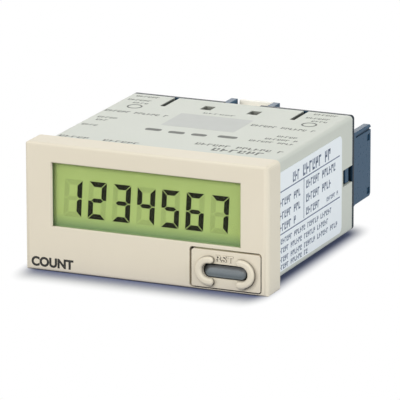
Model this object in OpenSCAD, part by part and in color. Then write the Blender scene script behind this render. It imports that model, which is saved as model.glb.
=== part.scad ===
// Panel counter: a self-powered totalising counter for a 1/32 DIN panel cut-out.
// A moulded bezel carries the display window and the guarded reset key. The case behind it
// passes through the panel and ends in a screw terminal block.
// Frame: millimetres, +X right, front faces -Y, +Z up. The panel's front face is y = 0, and the
// origin is the middle of the panel cut-out.

$fn = 64;

/* [Case] */
// Width of the case that passes through the panel cut-out
case_w = 44.8; // [40:0.1:50]
// Height of the case that passes through the panel cut-out
case_h = 22; // [20:0.1:26]
// Length of the case behind the panel
case_l = 38.5; // [37:0.1:50]
// Wall thickness of the case
case_wall = 1.2; // [0.8:0.05:1.6]
// Rounding of the case's long edges
case_edge_r = 0.7; // [0.5:0.05:2]
// Distance of each slot beside the latch flap from the case's middle
flap_slot_x = 13.1; // [10:0.1:16]
// Width of the slots beside the latch flap
flap_slot_w = 0.9; // [0.6:0.05:1.5]
// Length of the slots beside the latch flap
flap_slot_l = 7; // [5:0.1:9]
// Distance of each square catch window from the case's middle
catch_x = 4.7; // [4:0.1:8]
// Width of a catch window across the case
catch_w = 2.1; // [1.5:0.05:3]
// Length of a catch window along the case
catch_l = 2.8; // [2:0.05:3.5]
// Bar left between a catch window and the rear edge of the case
catch_bar = 3.6; // [2.5:0.1:5]
// Length of the latch notch in each side wall
notch_l = 4.5; // [3.5:0.1:6]
// Height of the latch notch in each side wall
notch_h = 3.1; // [2.5:0.1:5]
// How far the board rails stand out from the side walls
rail_w = 1; // [0.6:0.05:1.5]
// Height of each board rail
rail_h = 0.8; // [0.5:0.05:1.2]

/* [Bezel] */
// How far the bezel reaches past the case at the left and right
bezel_rim_x = 1.6; // [1.2:0.05:4]
// How far the bezel reaches past the case at the top and bottom
bezel_rim_z = 1; // [0.8:0.05:4]
// Thickness of the bezel in front of the panel
bezel_t = 5.5; // [5:0.1:8]
// Rounding of the bezel's upper corners as seen from the front
bezel_corner_r = 1; // [0.6:0.05:2]
// Rounding of the bezel's lower corners as seen from the front
bezel_foot_r = 0.4; // [0.3:0.05:2]
// Rounding of the front edges at the left and right
bezel_side_r = 1.1; // [0.4:0.05:1.4]
// Rounding of the front edges at the top and bottom
bezel_top_r = 0.6; // [0.3:0.05:0.9]
// Ledge inside the bezel that stops the front end of the case
case_stop = 0.6; // [0.4:0.05:0.9]

/* [Display] */
// Distance from the window's edge to the case's side
window_margin_x = 3.9; // [3:0.1:8]
// Distance from the window's top edge to the case's top
window_margin_z = 2.55; // [2.4:0.05:4]
// Height of the window
window_h = 11.9; // [10:0.05:12.2]
// Thickness of the lip in front of the window pane
lip_t = 0.5; // [0.4:0.05:1]
// Chamfer round the window's front edge
lip_chamfer = 0.2; // [0.1:0.05:0.4]
// Thickness of the clear window pane
pane_t = 0.4; // [0.3:0.05:0.6]
// How far the pane reaches behind the lip
pane_lap = 0.45; // [0.3:0.05:0.5]
// Thickness of the front polarising film
polariser_t = 0.15; // [0.1:0.05:0.25]
// Thickness of each glass of the liquid crystal cell
glass_t = 0.4; // [0.3:0.05:0.7]
// Gap between the two glasses, filled by the seal at the edge
cell_gap = 0.1; // [0.05:0.01:0.2]
// Width of the seal round the cell
seal_w = 1; // [0.5:0.1:1.5]
// Thickness of the green rear reflector film
reflector_t = 0.25; // [0.15:0.05:0.4]
// How far the cell reaches past the window at the left and right
cell_lap = 1.3; // [0.8:0.1:2]
// Height of the elastomer contact strip
zebra_h = 1; // [0.6:0.05:1]
// Depth of the holder between the cell and the display board
holder_d = 3.9; // [3.2:0.1:5]
// Width of the holder's frame bars
holder_bar = 2.6; // [1.5:0.1:4]

/* [Reset key] */
// Width of the key cover's opening in the bezel
cover_w = 14; // [13.2:0.1:16]
// Distance from the cover's opening to the bezel's right side
cover_margin_x = 1.35; // [1.3:0.05:3]
// Distance from the cover's opening to the bezel's bottom
cover_margin_z = 0.4; // [0.35:0.05:0.7]
// Bar of bezel between the window and the cover's opening
cover_bar = 0.65; // [0.5:0.05:1]
// Corner rounding of the cover
cover_r = 0.6; // [0.3:0.05:1]
// Thickness of the cover plate
cover_t = 1.2; // [1:0.05:1.4]
// Rounding of the cover's front edge where it is cut by the opening
cover_ease = 0.15; // [0.1:0.01:0.25]
// Width of the reset key
key_w = 8.6; // [8.2:0.1:9.5]
// Height of the reset key
key_h = 2.4; // [2.2:0.05:3]
// How far the key lies below the middle of its cover
key_drop = 0.35; // [0:0.05:0.4]
// How far the key's face lies behind the front of the bezel
key_recess = 0.7; // [0.4:0.05:0.9]
// Rounding of the key's front edge
key_edge_r = 0.4; // [0.2:0.05:0.5]
// Travel of the key
key_travel = 0.7; // [0.4:0.05:0.9]
// Thickness of the shoulder that keeps the key behind its cover
key_shoulder_t = 0.5; // [0.4:0.05:0.7]
// How far the shoulder reaches past the key at each end
key_shoulder_lap = 0.7; // [0.5:0.05:0.9]
// Diameter of the key's stem
stem_d = 1.6; // [1.2:0.1:2]
// Width of the ridge of the two guards
guard_w = 1.25; // [0.8:0.05:1.4]
// How far the guards stand out in front of the bezel
guard_h = 0.8; // [0.3:0.05:1]
// Rounding along the top of the guards
guard_r = 0.45; // [0.2:0.05:0.5]
// Free space between the tips of the two guards
guard_gap = 4.4; // [4:0.1:5]
// Height of the rubber key pad on the display board
pad_h = 1.6; // [1.5:0.05:2]
// Half width of the pad's foot
pad_foot_r = 1.35; // [1.3:0.01:1.4]
// Thickness of the pad's roof
pad_roof_t = 0.5; // [0.3:0.05:0.6]
// Thickness of the pad's side wall
pad_wall = 0.3; // [0.2:0.02:0.35]
// Straight length of the pad between its round ends
pad_straight = 3; // [2:0.1:5]
// Diameter of the carbon pill inside the pad
pill_d = 1.1; // [0.8:0.05:1.1]

/* [Boards] */
// Thickness of both circuit boards
board_t = 1.2; // [0.8:0.1:1.6]
// Depth of the main board's upper face below the middle of the case
main_board_drop = 3.8; // [3:0.1:4.5]
// Space left behind the main board in front of the rear end of the case
main_board_rear = 4; // [3.5:0.1:8]
// Width of the link between the boards
link_w = 22; // [16:1:30]
// Height and depth of the link between the boards
link_t = 2.5; // [2:0.1:3]
// Spacing of the pins of the link
link_pitch = 2; // [1.5:0.1:2.54]
// Thickness of the link's pins
link_pin = 0.5; // [0.4:0.05:0.6]
// Side of the counter chip's square body
chip_w = 9; // [7:0.5:12]
// Height of the counter chip
chip_h = 2; // [1.5:0.1:2.4]
// Spacing of the chip's leads
chip_pitch = 1; // [0.65:0.05:1.27]
// Width of each chip lead
chip_lead_w = 0.4; // [0.2:0.05:0.5]
// Length of each chip lead from the body
chip_lead_l = 1.2; // [0.8:0.1:2]
// Thickness of the chip leads
chip_lead_t = 0.2; // [0.15:0.05:0.3]
// Diameter of the crystal's can
crystal_d = 2; // [1.5:0.1:3]
// Length of the crystal's can
crystal_l = 6; // [5:0.5:8]
// Diameter of each capacitor
cap_d = 4; // [3:0.1:5]
// Height of each capacitor
cap_h = 3.6; // [3:0.1:4]
// Length of a chip resistor
resistor_l = 2; // [1.6:0.1:3.2]
// Width of a chip resistor
resistor_w = 1.25; // [0.8:0.05:1.6]
// Height of a chip resistor
resistor_h = 0.6; // [0.4:0.05:0.8]

/* [Battery] */
// Diameter of the coin cell
battery_d = 24; // [20:0.5:25]
// Height of the coin cell
battery_h = 7.5; // [5:0.1:8]
// Edge rounding of the coin cell
battery_edge_r = 0.5; // [0.3:0.05:0.8]
// Wall of the carrier round the cell
carrier_wall = 1; // [0.8:0.05:1.5]
// Height of the carrier's wall above its floor
carrier_h = 4.5; // [3:0.1:5]
// Thickness of the carrier's floor
carrier_floor_t = 1; // [0.8:0.05:1.2]
// Width of the carrier's pull tab
tab_w = 7; // [5:0.1:8]
// Thickness of the pull tab's arm
tab_t = 1.35; // [1:0.05:1.4]
// Length of the pull tab behind the case
tab_reach = 8.2; // [6:0.1:9]
// Thickness of the upright lip at the tab's end
tab_lip_t = 1; // [0.8:0.05:1.4]
// Height of the upright lip above the arm
tab_lip_h = 1.2; // [0.6:0.05:1.3]
// Thickness of the spring strips that touch the cell
strip_t = 0.3; // [0.2:0.05:0.4]
// Width of the spring strips that touch the cell
strip_w = 4; // [3:0.1:6]

/* [Terminal block] */
// Thickness of the block's flange that closes the case
flange_t = 0.9; // [0.7:0.05:1.5]
// Depth of the terminal block behind the case
block_d = 10; // [9.5:0.1:12]
// Height of the block's walls above the middle of the case
block_top = 7.2; // [6.5:0.1:7.8]
// Depth of the block's walls below the middle of the case
block_drop = 6.7; // [6:0.1:9]
// How far the block's end walls stand in from the case's sides
block_inset = 0.3; // [0.1:0.05:1]
// Thickness of the block's floor behind the flange
base_t = 1.6; // [1.2:0.1:2.5]
// Thickness of the end walls
end_wall_t = 1.3; // [1:0.1:2]
// Thickness of the walls between the terminals
divider_t = 1.2; // [0.8:0.1:2]
// Rounding of the walls' rear corners
wall_r = 0.8; // [0.4:0.1:1.5]
// Fillet between the walls and the flange
wall_fillet_r = 1.6; // [0.8:0.1:2.5]
// Width of the cover groove along the end walls
groove_w = 0.35; // [0.2:0.05:0.5]
// Depth of the cover groove along the end walls
groove_t = 0.3; // [0.2:0.05:0.5]
// Depth of the cover groove below the walls' top edge
groove_drop = 0.7; // [0.5:0.05:1]
// Side of the square catch seats of a clip-on cover in the end walls
seat_d = 1.2; // [0.8:0.1:1.5]
// Thickness of the two guide posts beside the pull tab
post_t = 1.4; // [1:0.1:2]
// Height of the guide posts above the block's walls
post_h = 3; // [2:0.1:3.5]
// Length of the guide posts behind the flange
post_l = 5.9; // [4:0.1:6.5]
// Thickness of the shelf that the guide posts stand on
shelf_t = 0.8; // [0.6:0.1:1.2]
// Thickness of the latch arms inside the case
latch_t = 1; // [0.8:0.1:1.4]
// How far the latch tooth stands out into the notch
latch_tooth = 0.8; // [0.5:0.05:1]
// Length of the latch tooth along the case
latch_tooth_l = 1.7; // [1.2:0.1:2]
// Diameter of the terminal screws
screw_d = 3; // [2.5:0.5:3]
// Length of the terminal screws below the head
screw_l = 6; // [5:0.5:6.5]
// Diameter of the screw heads
screw_head_d = 5.5; // [4.5:0.1:6]
// Height of the screw heads
screw_head_h = 1.7; // [1.2:0.1:1.8]
// Rounding of the screw heads
screw_head_r = 0.7; // [0.4:0.1:1]
// Width of the slots of the cross recess
recess_w = 0.8; // [0.5:0.1:1]
// Length of the slots of the cross recess
recess_l = 3; // [2:0.1:3.5]
// Depth of the cross recess
recess_t = 1; // [0.6:0.1:1.2]
// Side of the square captive washers
washer_w = 6.2; // [5:0.1:7]
// Thickness of the captive washers
washer_t = 0.7; // [0.5:0.1:1]
// Thickness of the terminal plates
plate_t = 0.8; // [0.6:0.1:1]
// Height of the terminal plates above the screw's middle
plate_rise = 4; // [3.5:0.1:5]
// Width of the tongue from each plate to the main board
tongue_w = 2.6; // [2:0.1:4]
// Length of the tongue's soldered end on the main board
tongue_lap = 2; // [1:0.1:3]
// Wall round each screw's blind hole inside the case
boss_wall = 0.9; // [0.7:0.1:1.5]

/* [Label] */
// Thickness of the side label
label_t = 0.1; // [0.05:0.05:0.3]
// Height of the side label
label_h = 18.5; // [14:0.5:19]
// How far the label's middle lies below the middle of the case
label_drop = 0.6; // [0:0.1:0.8]
// Distance of the label's front end from the bezel
label_front = 1; // [0.5:0.1:3]
// Distance of the label's rear end from the latch notch
label_rear = 1; // [0.5:0.1:3]
// Corner rounding of the label
label_r = 1.2; // [0.5:0.1:2]

/* [Clearances] */
// Gap between fixed pieces that slide together
fit_gap = 0.1; // [0.05:0.01:0.2]
// Gap between the key cover and the bezel
cover_gap = 0.25; // [0.1:0.05:0.35]
// Gap round the moving reset key
key_gap = 0.15; // [0.1:0.01:0.2]
// Gap between the boards and the case
board_gap = 0.2; // [0.1:0.05:0.4]
// Free space between the link and the parts under the main board
part_gap = 1.6; // [0.8:0.1:2.5]
// Gap round the terminal screws in their holes
screw_gap = 0.1; // [0.05:0.01:0.2]

/* [Hidden] */
// How far cutting tools reach past the faces that they open.
cut = 1;

// Bezel and case, front to rear.
bezel_w = case_w + 2 * bezel_rim_x;
bezel_h = case_h + 2 * bezel_rim_z;
front_y = -bezel_t;
pane_y = front_y + lip_t;
wall_y = pane_y + pane_t;
cover_y = front_y + cover_t;
case_y = cover_y + key_shoulder_t + key_travel + fit_gap;
inner_w = case_w - 2 * case_wall;
inner_h = case_h - 2 * case_wall;
inner_r = max(case_edge_r - case_wall, fit_gap);

// Window and display stack.
window_w = case_w - 2 * window_margin_x;
window_z1 = case_h / 2 - window_margin_z;
window_z0 = window_z1 - window_h;
pane_w = window_w + 2 * pane_lap;
pane_z0 = window_z0 - pane_lap;
pane_z1 = window_z1 + pane_lap;
cell_w = window_w + 2 * cell_lap;
zebra_z1 = inner_h / 2 - fit_gap;
zebra_z0 = zebra_z1 - zebra_h;
rear_glass_z1 = zebra_z0 - fit_gap;
front_glass_z1 = zebra_z1 + fit_gap;
glass_y = wall_y + polariser_t;
gap_y = glass_y + glass_t;
rear_glass_y = gap_y + cell_gap;
reflector_y = rear_glass_y + glass_t;
holder_y = reflector_y + reflector_t;
board_y = holder_y + holder_d;
board_rear_y = board_y + board_t;
board_w = inner_w - 2 * board_gap;
board_h = inner_h - 2 * board_gap;

// Key cover and reset key.
cover_x1 = bezel_w / 2 - cover_margin_x;
cover_x = cover_x1 - cover_w / 2;
cover_z0 = -bezel_h / 2 + cover_margin_z;
cover_z1 = window_z0 - cover_bar;
cover_h = cover_z1 - cover_z0;
cover_z = (cover_z0 + cover_z1) / 2;
key_z = max(cover_z - key_drop, pad_foot_r + fit_gap - inner_h / 2);
key_r = key_h / 2;
key_half = key_w / 2 - key_r;
key_y = front_y + key_recess;
hole_r = key_r + key_gap;
guard_mid_r = hole_r + fit_gap / 2 + guard_w / 2;
stem_y = board_y - pad_h;
pill_y = stem_y + pad_roof_t;
pill_t = pad_h - pad_roof_t - key_travel - fit_gap;

// Main board and battery.
main_z1 = -main_board_drop;
main_z0 = main_z1 - board_t;
main_y1 = case_l - main_board_rear;
link_y1 = board_rear_y + link_t + link_pitch;
parts_y = link_y1 + part_gap;
carrier_z = main_z1 + carrier_floor_t;
battery_z = carrier_z + strip_t;
battery_z1 = battery_z + battery_h;
carrier_r = battery_d / 2 + fit_gap;
carrier_out_r = carrier_r + carrier_wall;
battery_y = main_y1 - tongue_lap - fit_gap - carrier_out_r;
strip_x = carrier_out_r + fit_gap;

// Terminal block.
flange_y = case_l + flange_t;
base_y = flange_y + base_t;
block_y = case_l + block_d;
block_w = case_w - 2 * block_inset;
terminals = 4;
bay_pitch = (block_w - 2 * end_wall_t + divider_t) / terminals;
bay_w = bay_pitch - divider_t;
screw_z = (block_top - block_drop) / 2;
plate_y = base_y + plate_t;
head_y = plate_y + washer_t;
screw_tip_y = head_y - screw_l;
hole_d = screw_d + 2 * screw_gap;
boss_y = screw_tip_y - screw_gap - boss_wall;
tab_z = block_top + fit_gap;
tab_y1 = case_l + tab_reach;
post_x = tab_w / 2 + fit_gap;
latch_x = inner_w / 2 - board_gap;
notch_y = case_l - notch_l;
latch_tooth_y = case_l - flange_t - latch_tooth_l;
label_y1 = notch_y - label_rear;

// An outline in X and Z, drawn out along Y from y0 to y1.
module along_y(y0, y1) {
    translate([0, y1, 0])
        rotate([90, 0, 0])
            linear_extrude(height = y1 - y0)
                children();
}

// An outline in Y and Z, drawn out along X from x0 to x1.
module along_x(x0, x1) {
    translate([x0, 0, 0])
        rotate([90, 0, 90])
            linear_extrude(height = x1 - x0)
                children();
}

// An outline in X and Y, drawn out along Z from z0 to z1.
module along_z(z0, z1) {
    translate([0, 0, z0])
        linear_extrude(height = z1 - z0)
            children();
}

// Turns a shape that is modelled face up so that it faces the front at the given y.
module facing_front(y) {
    translate([0, y, 0])
        rotate([90, 0, 0])
            children();
}

// Turns a shape that is modelled face up so that it faces the rear at the given y.
module facing_rear(y) {
    translate([0, y, 0])
        rotate([-90, 0, 0])
            children();
}

// A rectangle between two corners.
module box_outline(x0, x1, y0, y1) {
    translate([x0, y0])
        square([x1 - x0, y1 - y0]);
}

// A rectangle between two corners, with true arcs at its corners.
module round_outline(x0, x1, y0, y1, r) {
    box_outline(x0 + r, x1 - r, y0, y1);
    box_outline(x0, x1, y0 + r, y1 - r);
    for (x = [x0 + r, x1 - r], y = [y0 + r, y1 - r])
        translate([x, y])
            circle(r);
}

// A rounded rectangle about the middle.
module centred_outline(w, h, r) {
    round_outline(-w / 2, w / 2, -h / 2, h / 2, r);
}

// A slot outline with round ends, given half its straight length and its end radius.
module capsule_outline(half, r) {
    box_outline(-half, half, -r, r);
    for (side = [-1, 1])
        translate([side * half, 0])
            circle(r);
}

// A solid with round ends from half a section, which is turned at the ends and drawn out between.
module capsule_solid(half) {
    for (side = [-1, 1])
        translate([side * half, 0, 0])
            rotate([0, 0, -90 * side])
                rotate_extrude(angle = 180)
                    children();
    rotate([90, 0, 90])
        translate([0, 0, -half])
            linear_extrude(height = 2 * half) {
                children();
                mirror([1, 0])
                    children();
            }
}

// Half a section from the axis out to r, from foot up to h, with its upper edge rounded by e or
// by as much as the section has room for.
module half_section(r, h, e, foot = 0) {
    c = min(e, r - fit_gap, h - fit_gap);
    box_outline(0, r - c, foot, h);
    box_outline(0, r, foot, h - c);
    translate([r - c, h - c])
        intersection() {
            circle(c);
            square(c);
        }
}

// The section of a guard ridge about its middle: a rounded top, and a foot sunk into the plate.
module ridge_section() {
    half_section(guard_w / 2, guard_h, guard_r, -guard_r);
    mirror([1, 0])
        half_section(guard_w / 2, guard_h, guard_r, -guard_r);
}

// Places a copy at each screw terminal.
module at_terminals() {
    for (i = [0 : terminals - 1])
        translate([(i - (terminals - 1) / 2) * bay_pitch, 0, screw_z])
            children();
}

// Places a shape and its mirror image on both sides.
module both_sides() {
    children();
    mirror([1, 0, 0])
        children();
}

// The bezel seen from the front, with rounder corners above than below.
module bezel_outline() {
    intersection() {
        round_outline(-bezel_w / 2, bezel_w / 2, -bezel_h, bezel_h / 2, bezel_corner_r);
        round_outline(-bezel_w / 2, bezel_w / 2, -bezel_h / 2, bezel_h, bezel_foot_r);
    }
}

// The bezel's outer form: one outline seen from each of three sides.
module bezel_form() {
    intersection() {
        along_y(front_y, 0)
            bezel_outline();
        along_z(-bezel_h, bezel_h)
            round_outline(-bezel_w / 2, bezel_w / 2, front_y, bezel_t, bezel_side_r);
        along_x(-bezel_w, bezel_w)
            round_outline(front_y, bezel_t, -bezel_h / 2, bezel_h / 2, bezel_top_r);
    }
}

// The chamfer round the window: a wedge along each edge of the lip.
module window_chamfer() {
    reach = lip_chamfer + cut;
    for (z = [[window_z0, -1], [window_z1, 1]])
        along_x(-window_w / 2 - lip_chamfer, window_w / 2 + lip_chamfer)
            polygon([
                [front_y + lip_chamfer, z[0]],
                [front_y - cut, z[0]],
                [front_y - cut, z[0] + z[1] * reach]
            ]);
    for (side = [-1, 1])
        along_z(window_z0 - lip_chamfer, window_z1 + lip_chamfer)
            polygon([
                [side * window_w / 2, front_y + lip_chamfer],
                [side * window_w / 2, front_y - cut],
                [side * (window_w / 2 + reach), front_y - cut]
            ]);
}

module front_bezel() {
    stop_w = case_w - 2 * case_stop;
    stop_h = case_h - 2 * case_stop;
    color([0.88, 0.84, 0.76])
        difference() {
            bezel_form();
            // Rear socket for the front end of the case.
            along_y(case_y, cut)
                centred_outline(
                    case_w + 2 * fit_gap, case_h + 2 * fit_gap, case_edge_r + fit_gap
                );
            // Room for the display cell, left solid behind the key cover.
            difference() {
                along_y(wall_y, case_y + fit_gap)
                    centred_outline(stop_w, stop_h, case_edge_r);
                along_y(wall_y - cut, case_y)
                    box_outline(cover_x1 - cover_w - cover_bar, bezel_w, -bezel_h, cover_z1);
            }
            // Seat of the window pane, and the window through the lip.
            along_y(pane_y, wall_y + fit_gap)
                box_outline(
                    -pane_w / 2 - fit_gap, pane_w / 2 + fit_gap,
                    pane_z0 - fit_gap / 2, pane_z1 + fit_gap
                );
            along_y(front_y - cut, pane_y + fit_gap)
                box_outline(-window_w / 2, window_w / 2, window_z0, window_z1);
            window_chamfer();
            // Pocket of the key cover, and the well for the key's shoulder in its floor.
            along_y(front_y - cut, cover_y)
                round_outline(cover_x1 - cover_w, cover_x1, cover_z0, cover_z1, cover_r);
            translate([cover_x, 0, key_z])
                along_y(front_y, case_y + fit_gap)
                    capsule_outline(key_half + key_shoulder_lap, hole_r);
        }
}

module display_window() {
    color([0.9, 0.95, 0.92, 0.35])
        along_y(pane_y, wall_y)
            box_outline(-pane_w / 2, pane_w / 2, pane_z0, pane_z1);
}

// One C-shaped guard at the right end of the key, modelled face up.
module guard() {
    tip_x = guard_gap / 2 + guard_w / 2;
    translate([key_half, 0, 0])
        rotate([0, 0, -90])
            rotate_extrude(angle = 180)
                translate([guard_mid_r, 0])
                    ridge_section();
    for (side = [-1, 1])
        translate([tip_x, side * guard_mid_r, 0]) {
            rotate_extrude()
                half_section(guard_w / 2, guard_h, guard_r, -guard_r);
            rotate([90, 0, 90])
                linear_extrude(height = key_half - tip_x)
                    ridge_section();
        }
}

// The cover plate with its front edge eased, from one outline seen from each of three sides.
module cover_plate() {
    x0 = cover_x1 - cover_w + cover_gap;
    x1 = cover_x1 - cover_gap;
    z0 = cover_z0 + cover_gap;
    z1 = cover_z1 - cover_gap;
    deep_y = cover_y + cover_t;
    intersection() {
        along_y(front_y, cover_y)
            round_outline(x0, x1, z0, z1, cover_r);
        along_z(-bezel_h, bezel_h)
            round_outline(x0, x1, front_y, deep_y, cover_ease);
        along_x(-bezel_w, bezel_w)
            round_outline(front_y, deep_y, z0, z1, cover_ease);
    }
}

module key_cover() {
    color([0.87, 0.83, 0.75])
        difference() {
            union() {
                cover_plate();
                translate([cover_x, 0, key_z])
                    facing_front(front_y)
                        both_sides()
                            guard();
            }
            translate([cover_x, 0, key_z])
                along_y(front_y - cut, cover_y + cut)
                    capsule_outline(key_half, hole_r);
        }
}

module reset_key() {
    shoulder_y = cover_y + key_shoulder_t;
    color([0.47, 0.5, 0.53])
        translate([cover_x, 0, key_z]) {
            facing_front(cover_y)
                capsule_solid(key_half)
                    half_section(key_r, cover_y - key_y, key_edge_r);
            along_y(cover_y, shoulder_y)
                capsule_outline(key_half + key_shoulder_lap, key_r);
            facing_rear(shoulder_y)
                cylinder(d = stem_d, h = stem_y - shoulder_y);
        }
}

module contact_pill() {
    color([0.15, 0.15, 0.16])
        translate([cover_x, 0, key_z])
            facing_rear(pill_y)
                cylinder(d = pill_d, h = pill_t);
}

// Rubber pad: a foot on the board, a thin skirt and a roof that the stem presses.
module key_pad() {
    skirt_r = stem_d / 2 + fit_gap;
    hollow_r = skirt_r - pad_wall + fit_gap;
    color([0.35, 0.36, 0.38])
        translate([cover_x, 0, key_z])
            facing_front(board_y)
                capsule_solid(pad_straight / 2)
                    polygon([
                        [hollow_r, 0],
                        [pad_foot_r, 0],
                        [pad_foot_r, pad_wall],
                        [skirt_r, pad_h - pad_roof_t],
                        [skirt_r, pad_h],
                        [0, pad_h],
                        [0, pad_h - pad_roof_t],
                        [hollow_r, pad_h - pad_roof_t]
                    ]);
}

module lcd_polariser() {
    color([0.75, 0.8, 0.7, 0.4])
        along_y(wall_y, glass_y)
            box_outline(-pane_w / 2, pane_w / 2, pane_z0, pane_z1);
}

module lcd_front_glass() {
    color([0.8, 0.9, 0.85, 0.35])
        along_y(glass_y, gap_y)
            box_outline(-cell_w / 2, cell_w / 2, pane_z0, front_glass_z1);
}

module lcd_seal() {
    color([0.6, 0.62, 0.55])
        along_y(gap_y, rear_glass_y)
            difference() {
                box_outline(-cell_w / 2, cell_w / 2, pane_z0, rear_glass_z1);
                box_outline(
                    -cell_w / 2 + seal_w, cell_w / 2 - seal_w,
                    min(pane_z0 + seal_w, window_z0 - fit_gap),
                    max(rear_glass_z1 - seal_w, window_z1)
                );
            }
}

module lcd_rear_glass() {
    color([0.8, 0.9, 0.85, 0.35])
        along_y(rear_glass_y, reflector_y)
            box_outline(-cell_w / 2, cell_w / 2, pane_z0, rear_glass_z1);
}

module lcd_reflector() {
    color([0.64, 0.72, 0.43])
        along_y(reflector_y, holder_y)
            box_outline(-cell_w / 2, cell_w / 2, pane_z0, rear_glass_z1);
}

// Moulded frame that presses the cell forward and carries the contact strip on its top bar.
module lcd_holder() {
    side_x = board_w / 2;
    color([0.92, 0.92, 0.9])
        along_y(holder_y, board_y)
            difference() {
                box_outline(-side_x, side_x, pane_z0, zebra_z0);
                box_outline(
                    -side_x + holder_bar, side_x - holder_bar,
                    pane_z0 + holder_bar, zebra_z0 - holder_bar
                );
            }
}

module zebra_strip() {
    color([0.3, 0.3, 0.32])
        along_y(gap_y, board_y)
            box_outline(-pane_w / 2, pane_w / 2, zebra_z0, zebra_z1);
}

module display_board() {
    color([0.12, 0.4, 0.25])
        along_y(board_y, board_rear_y)
            centred_outline(board_w, board_h, inner_r);
}

// Right-angle pin strip under the main board that joins it to the display board.
module board_link() {
    pins = floor(link_w / link_pitch);
    color([0.13, 0.13, 0.14])
        along_x(-link_w / 2, link_w / 2)
            box_outline(board_rear_y, board_rear_y + link_t, main_z0 - link_t, main_z0);
    color([0.8, 0.72, 0.45])
        for (i = [0 : pins - 1])
            translate([(i - (pins - 1) / 2) * link_pitch, 0, 0])
                along_x(-link_pin / 2, link_pin / 2)
                    box_outline(
                        board_rear_y + link_t, link_y1,
                        main_z0 - link_pin, main_z0
                    );
}

module main_board() {
    color([0.14, 0.42, 0.27])
        along_z(main_z0, main_z1)
            box_outline(-board_w / 2, board_w / 2, board_rear_y, main_y1);
}

// Counter chip under the main board, with leads along its two long sides.
module counter_chip() {
    leads = floor((chip_w - chip_pitch) / chip_pitch);
    lead_x = chip_w / 2 + chip_lead_l;
    translate([0, battery_y, main_z0]) {
        color([0.12, 0.12, 0.13])
            along_z(-chip_h, 0)
                centred_outline(chip_w, chip_w, fit_gap);
        color([0.75, 0.75, 0.77])
            both_sides()
                for (i = [0 : leads - 1])
                    translate([0, (i - (leads - 1) / 2) * chip_pitch, 0])
                        along_z(-chip_lead_t, 0)
                            box_outline(
                                chip_w / 2 - fit_gap, lead_x, -chip_lead_w / 2, chip_lead_w / 2
                            );
    }
}

// Watch crystal lying under the main board, in its can on two leads.
module crystal() {
    lead_d = crystal_d / 6;
    can_x = chip_w / 2 + chip_lead_l + crystal_d;
    translate([can_x, battery_y + chip_w, main_z0 - crystal_d / 2]) {
        color([0.78, 0.78, 0.8])
            rotate([0, 90, 0])
                cylinder(d = crystal_d, h = crystal_l);
        color([0.7, 0.7, 0.72])
            for (side = [-1, 1])
                translate([0, side * crystal_d / 4, 0])
                    rotate([0, -90, 0])
                        cylinder(d = lead_d, h = crystal_d);
    }
}

// Two capacitors that stand under the main board.
module capacitors() {
    color([0.2, 0.24, 0.3])
        for (side = [-1, 1])
            translate([side * (chip_w / 2 + chip_lead_l + cap_d), parts_y + cap_d / 2, main_z0])
                rotate([180, 0, 0])
                    rotate_extrude()
                        half_section(cap_d / 2, cap_h, cap_d / 8);
}

// A row of chip resistors under the main board, across the counter chip's front.
module chip_resistors() {
    count = 4;
    step = resistor_l * 3 / 2;
    color([0.2, 0.2, 0.21])
        for (i = [0 : count - 1])
            translate([(i - (count - 1) / 2) * step, parts_y + resistor_w / 2, main_z0])
                along_z(-resistor_h, 0)
                    box_outline(
                        -resistor_l / 2, resistor_l / 2, -resistor_w / 2, resistor_w / 2
                    );
}

// Coin cell: a wide can with a slightly smaller cap underneath.
module battery() {
    cap_r = battery_d / 2 - 2 * battery_edge_r;
    color([0.75, 0.76, 0.78])
        translate([0, battery_y, battery_z]) {
            cylinder(r = cap_r, h = battery_edge_r);
            translate([0, 0, battery_edge_r])
                rotate_extrude()
                    half_section(battery_d / 2, battery_h - battery_edge_r, battery_edge_r);
        }
}

// Drawer for the coin cell. Its pull tab leaves the case between the block's guide posts.
module battery_carrier() {
    wall_z = carrier_z + carrier_h;
    stalk_y = battery_y + carrier_r;
    color([0.93, 0.9, 0.82])
        difference() {
            union() {
                translate([0, battery_y, main_z1])
                    cylinder(r = carrier_out_r, h = wall_z - main_z1);
                along_x(-tab_w / 2, tab_w / 2)
                    union() {
                        box_outline(stalk_y, stalk_y + carrier_wall, main_z1, tab_z + tab_t);
                        box_outline(stalk_y, tab_y1, tab_z, tab_z + tab_t);
                        box_outline(tab_y1 - tab_lip_t, tab_y1, tab_z, tab_z + tab_t + tab_lip_h);
                    }
            }
            translate([0, battery_y, carrier_z])
                cylinder(r = carrier_r, h = carrier_h + cut);
            // Way out for the lower spring strip.
            translate([0, battery_y, 0])
                along_z(carrier_z, carrier_z + strip_t + fit_gap)
                    box_outline(
                        -carrier_out_r - cut, 0, -strip_w / 2 - fit_gap, strip_w / 2 + fit_gap
                    );
        }
}

// Spring strip over the cell, with a leg down to the main board.
module battery_strip_top() {
    color([0.8, 0.78, 0.7])
        translate([0, battery_y, 0])
            rotate([0, 0, 90])
                along_x(-strip_w / 2, strip_w / 2)
                    union() {
                        box_outline(
                            -strip_x - strip_t, battery_d / 4, battery_z1, battery_z1 + strip_t
                        );
                        box_outline(
                            -strip_x - strip_t, -strip_x, main_z1, battery_z1 + strip_t
                        );
                    }
}

// Spring strip under the cell, with a leg down to the main board.
module battery_strip_bottom() {
    color([0.8, 0.78, 0.7])
        translate([0, battery_y, 0])
            rotate([0, 0, -90])
                mirror([1, 0, 0])
                    along_x(-strip_w / 2, strip_w / 2)
                        union() {
                            box_outline(
                                -strip_x - strip_t, battery_d / 4, carrier_z, battery_z
                            );
                            box_outline(-strip_x - strip_t, -strip_x, main_z1, battery_z);
                        }
}

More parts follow.
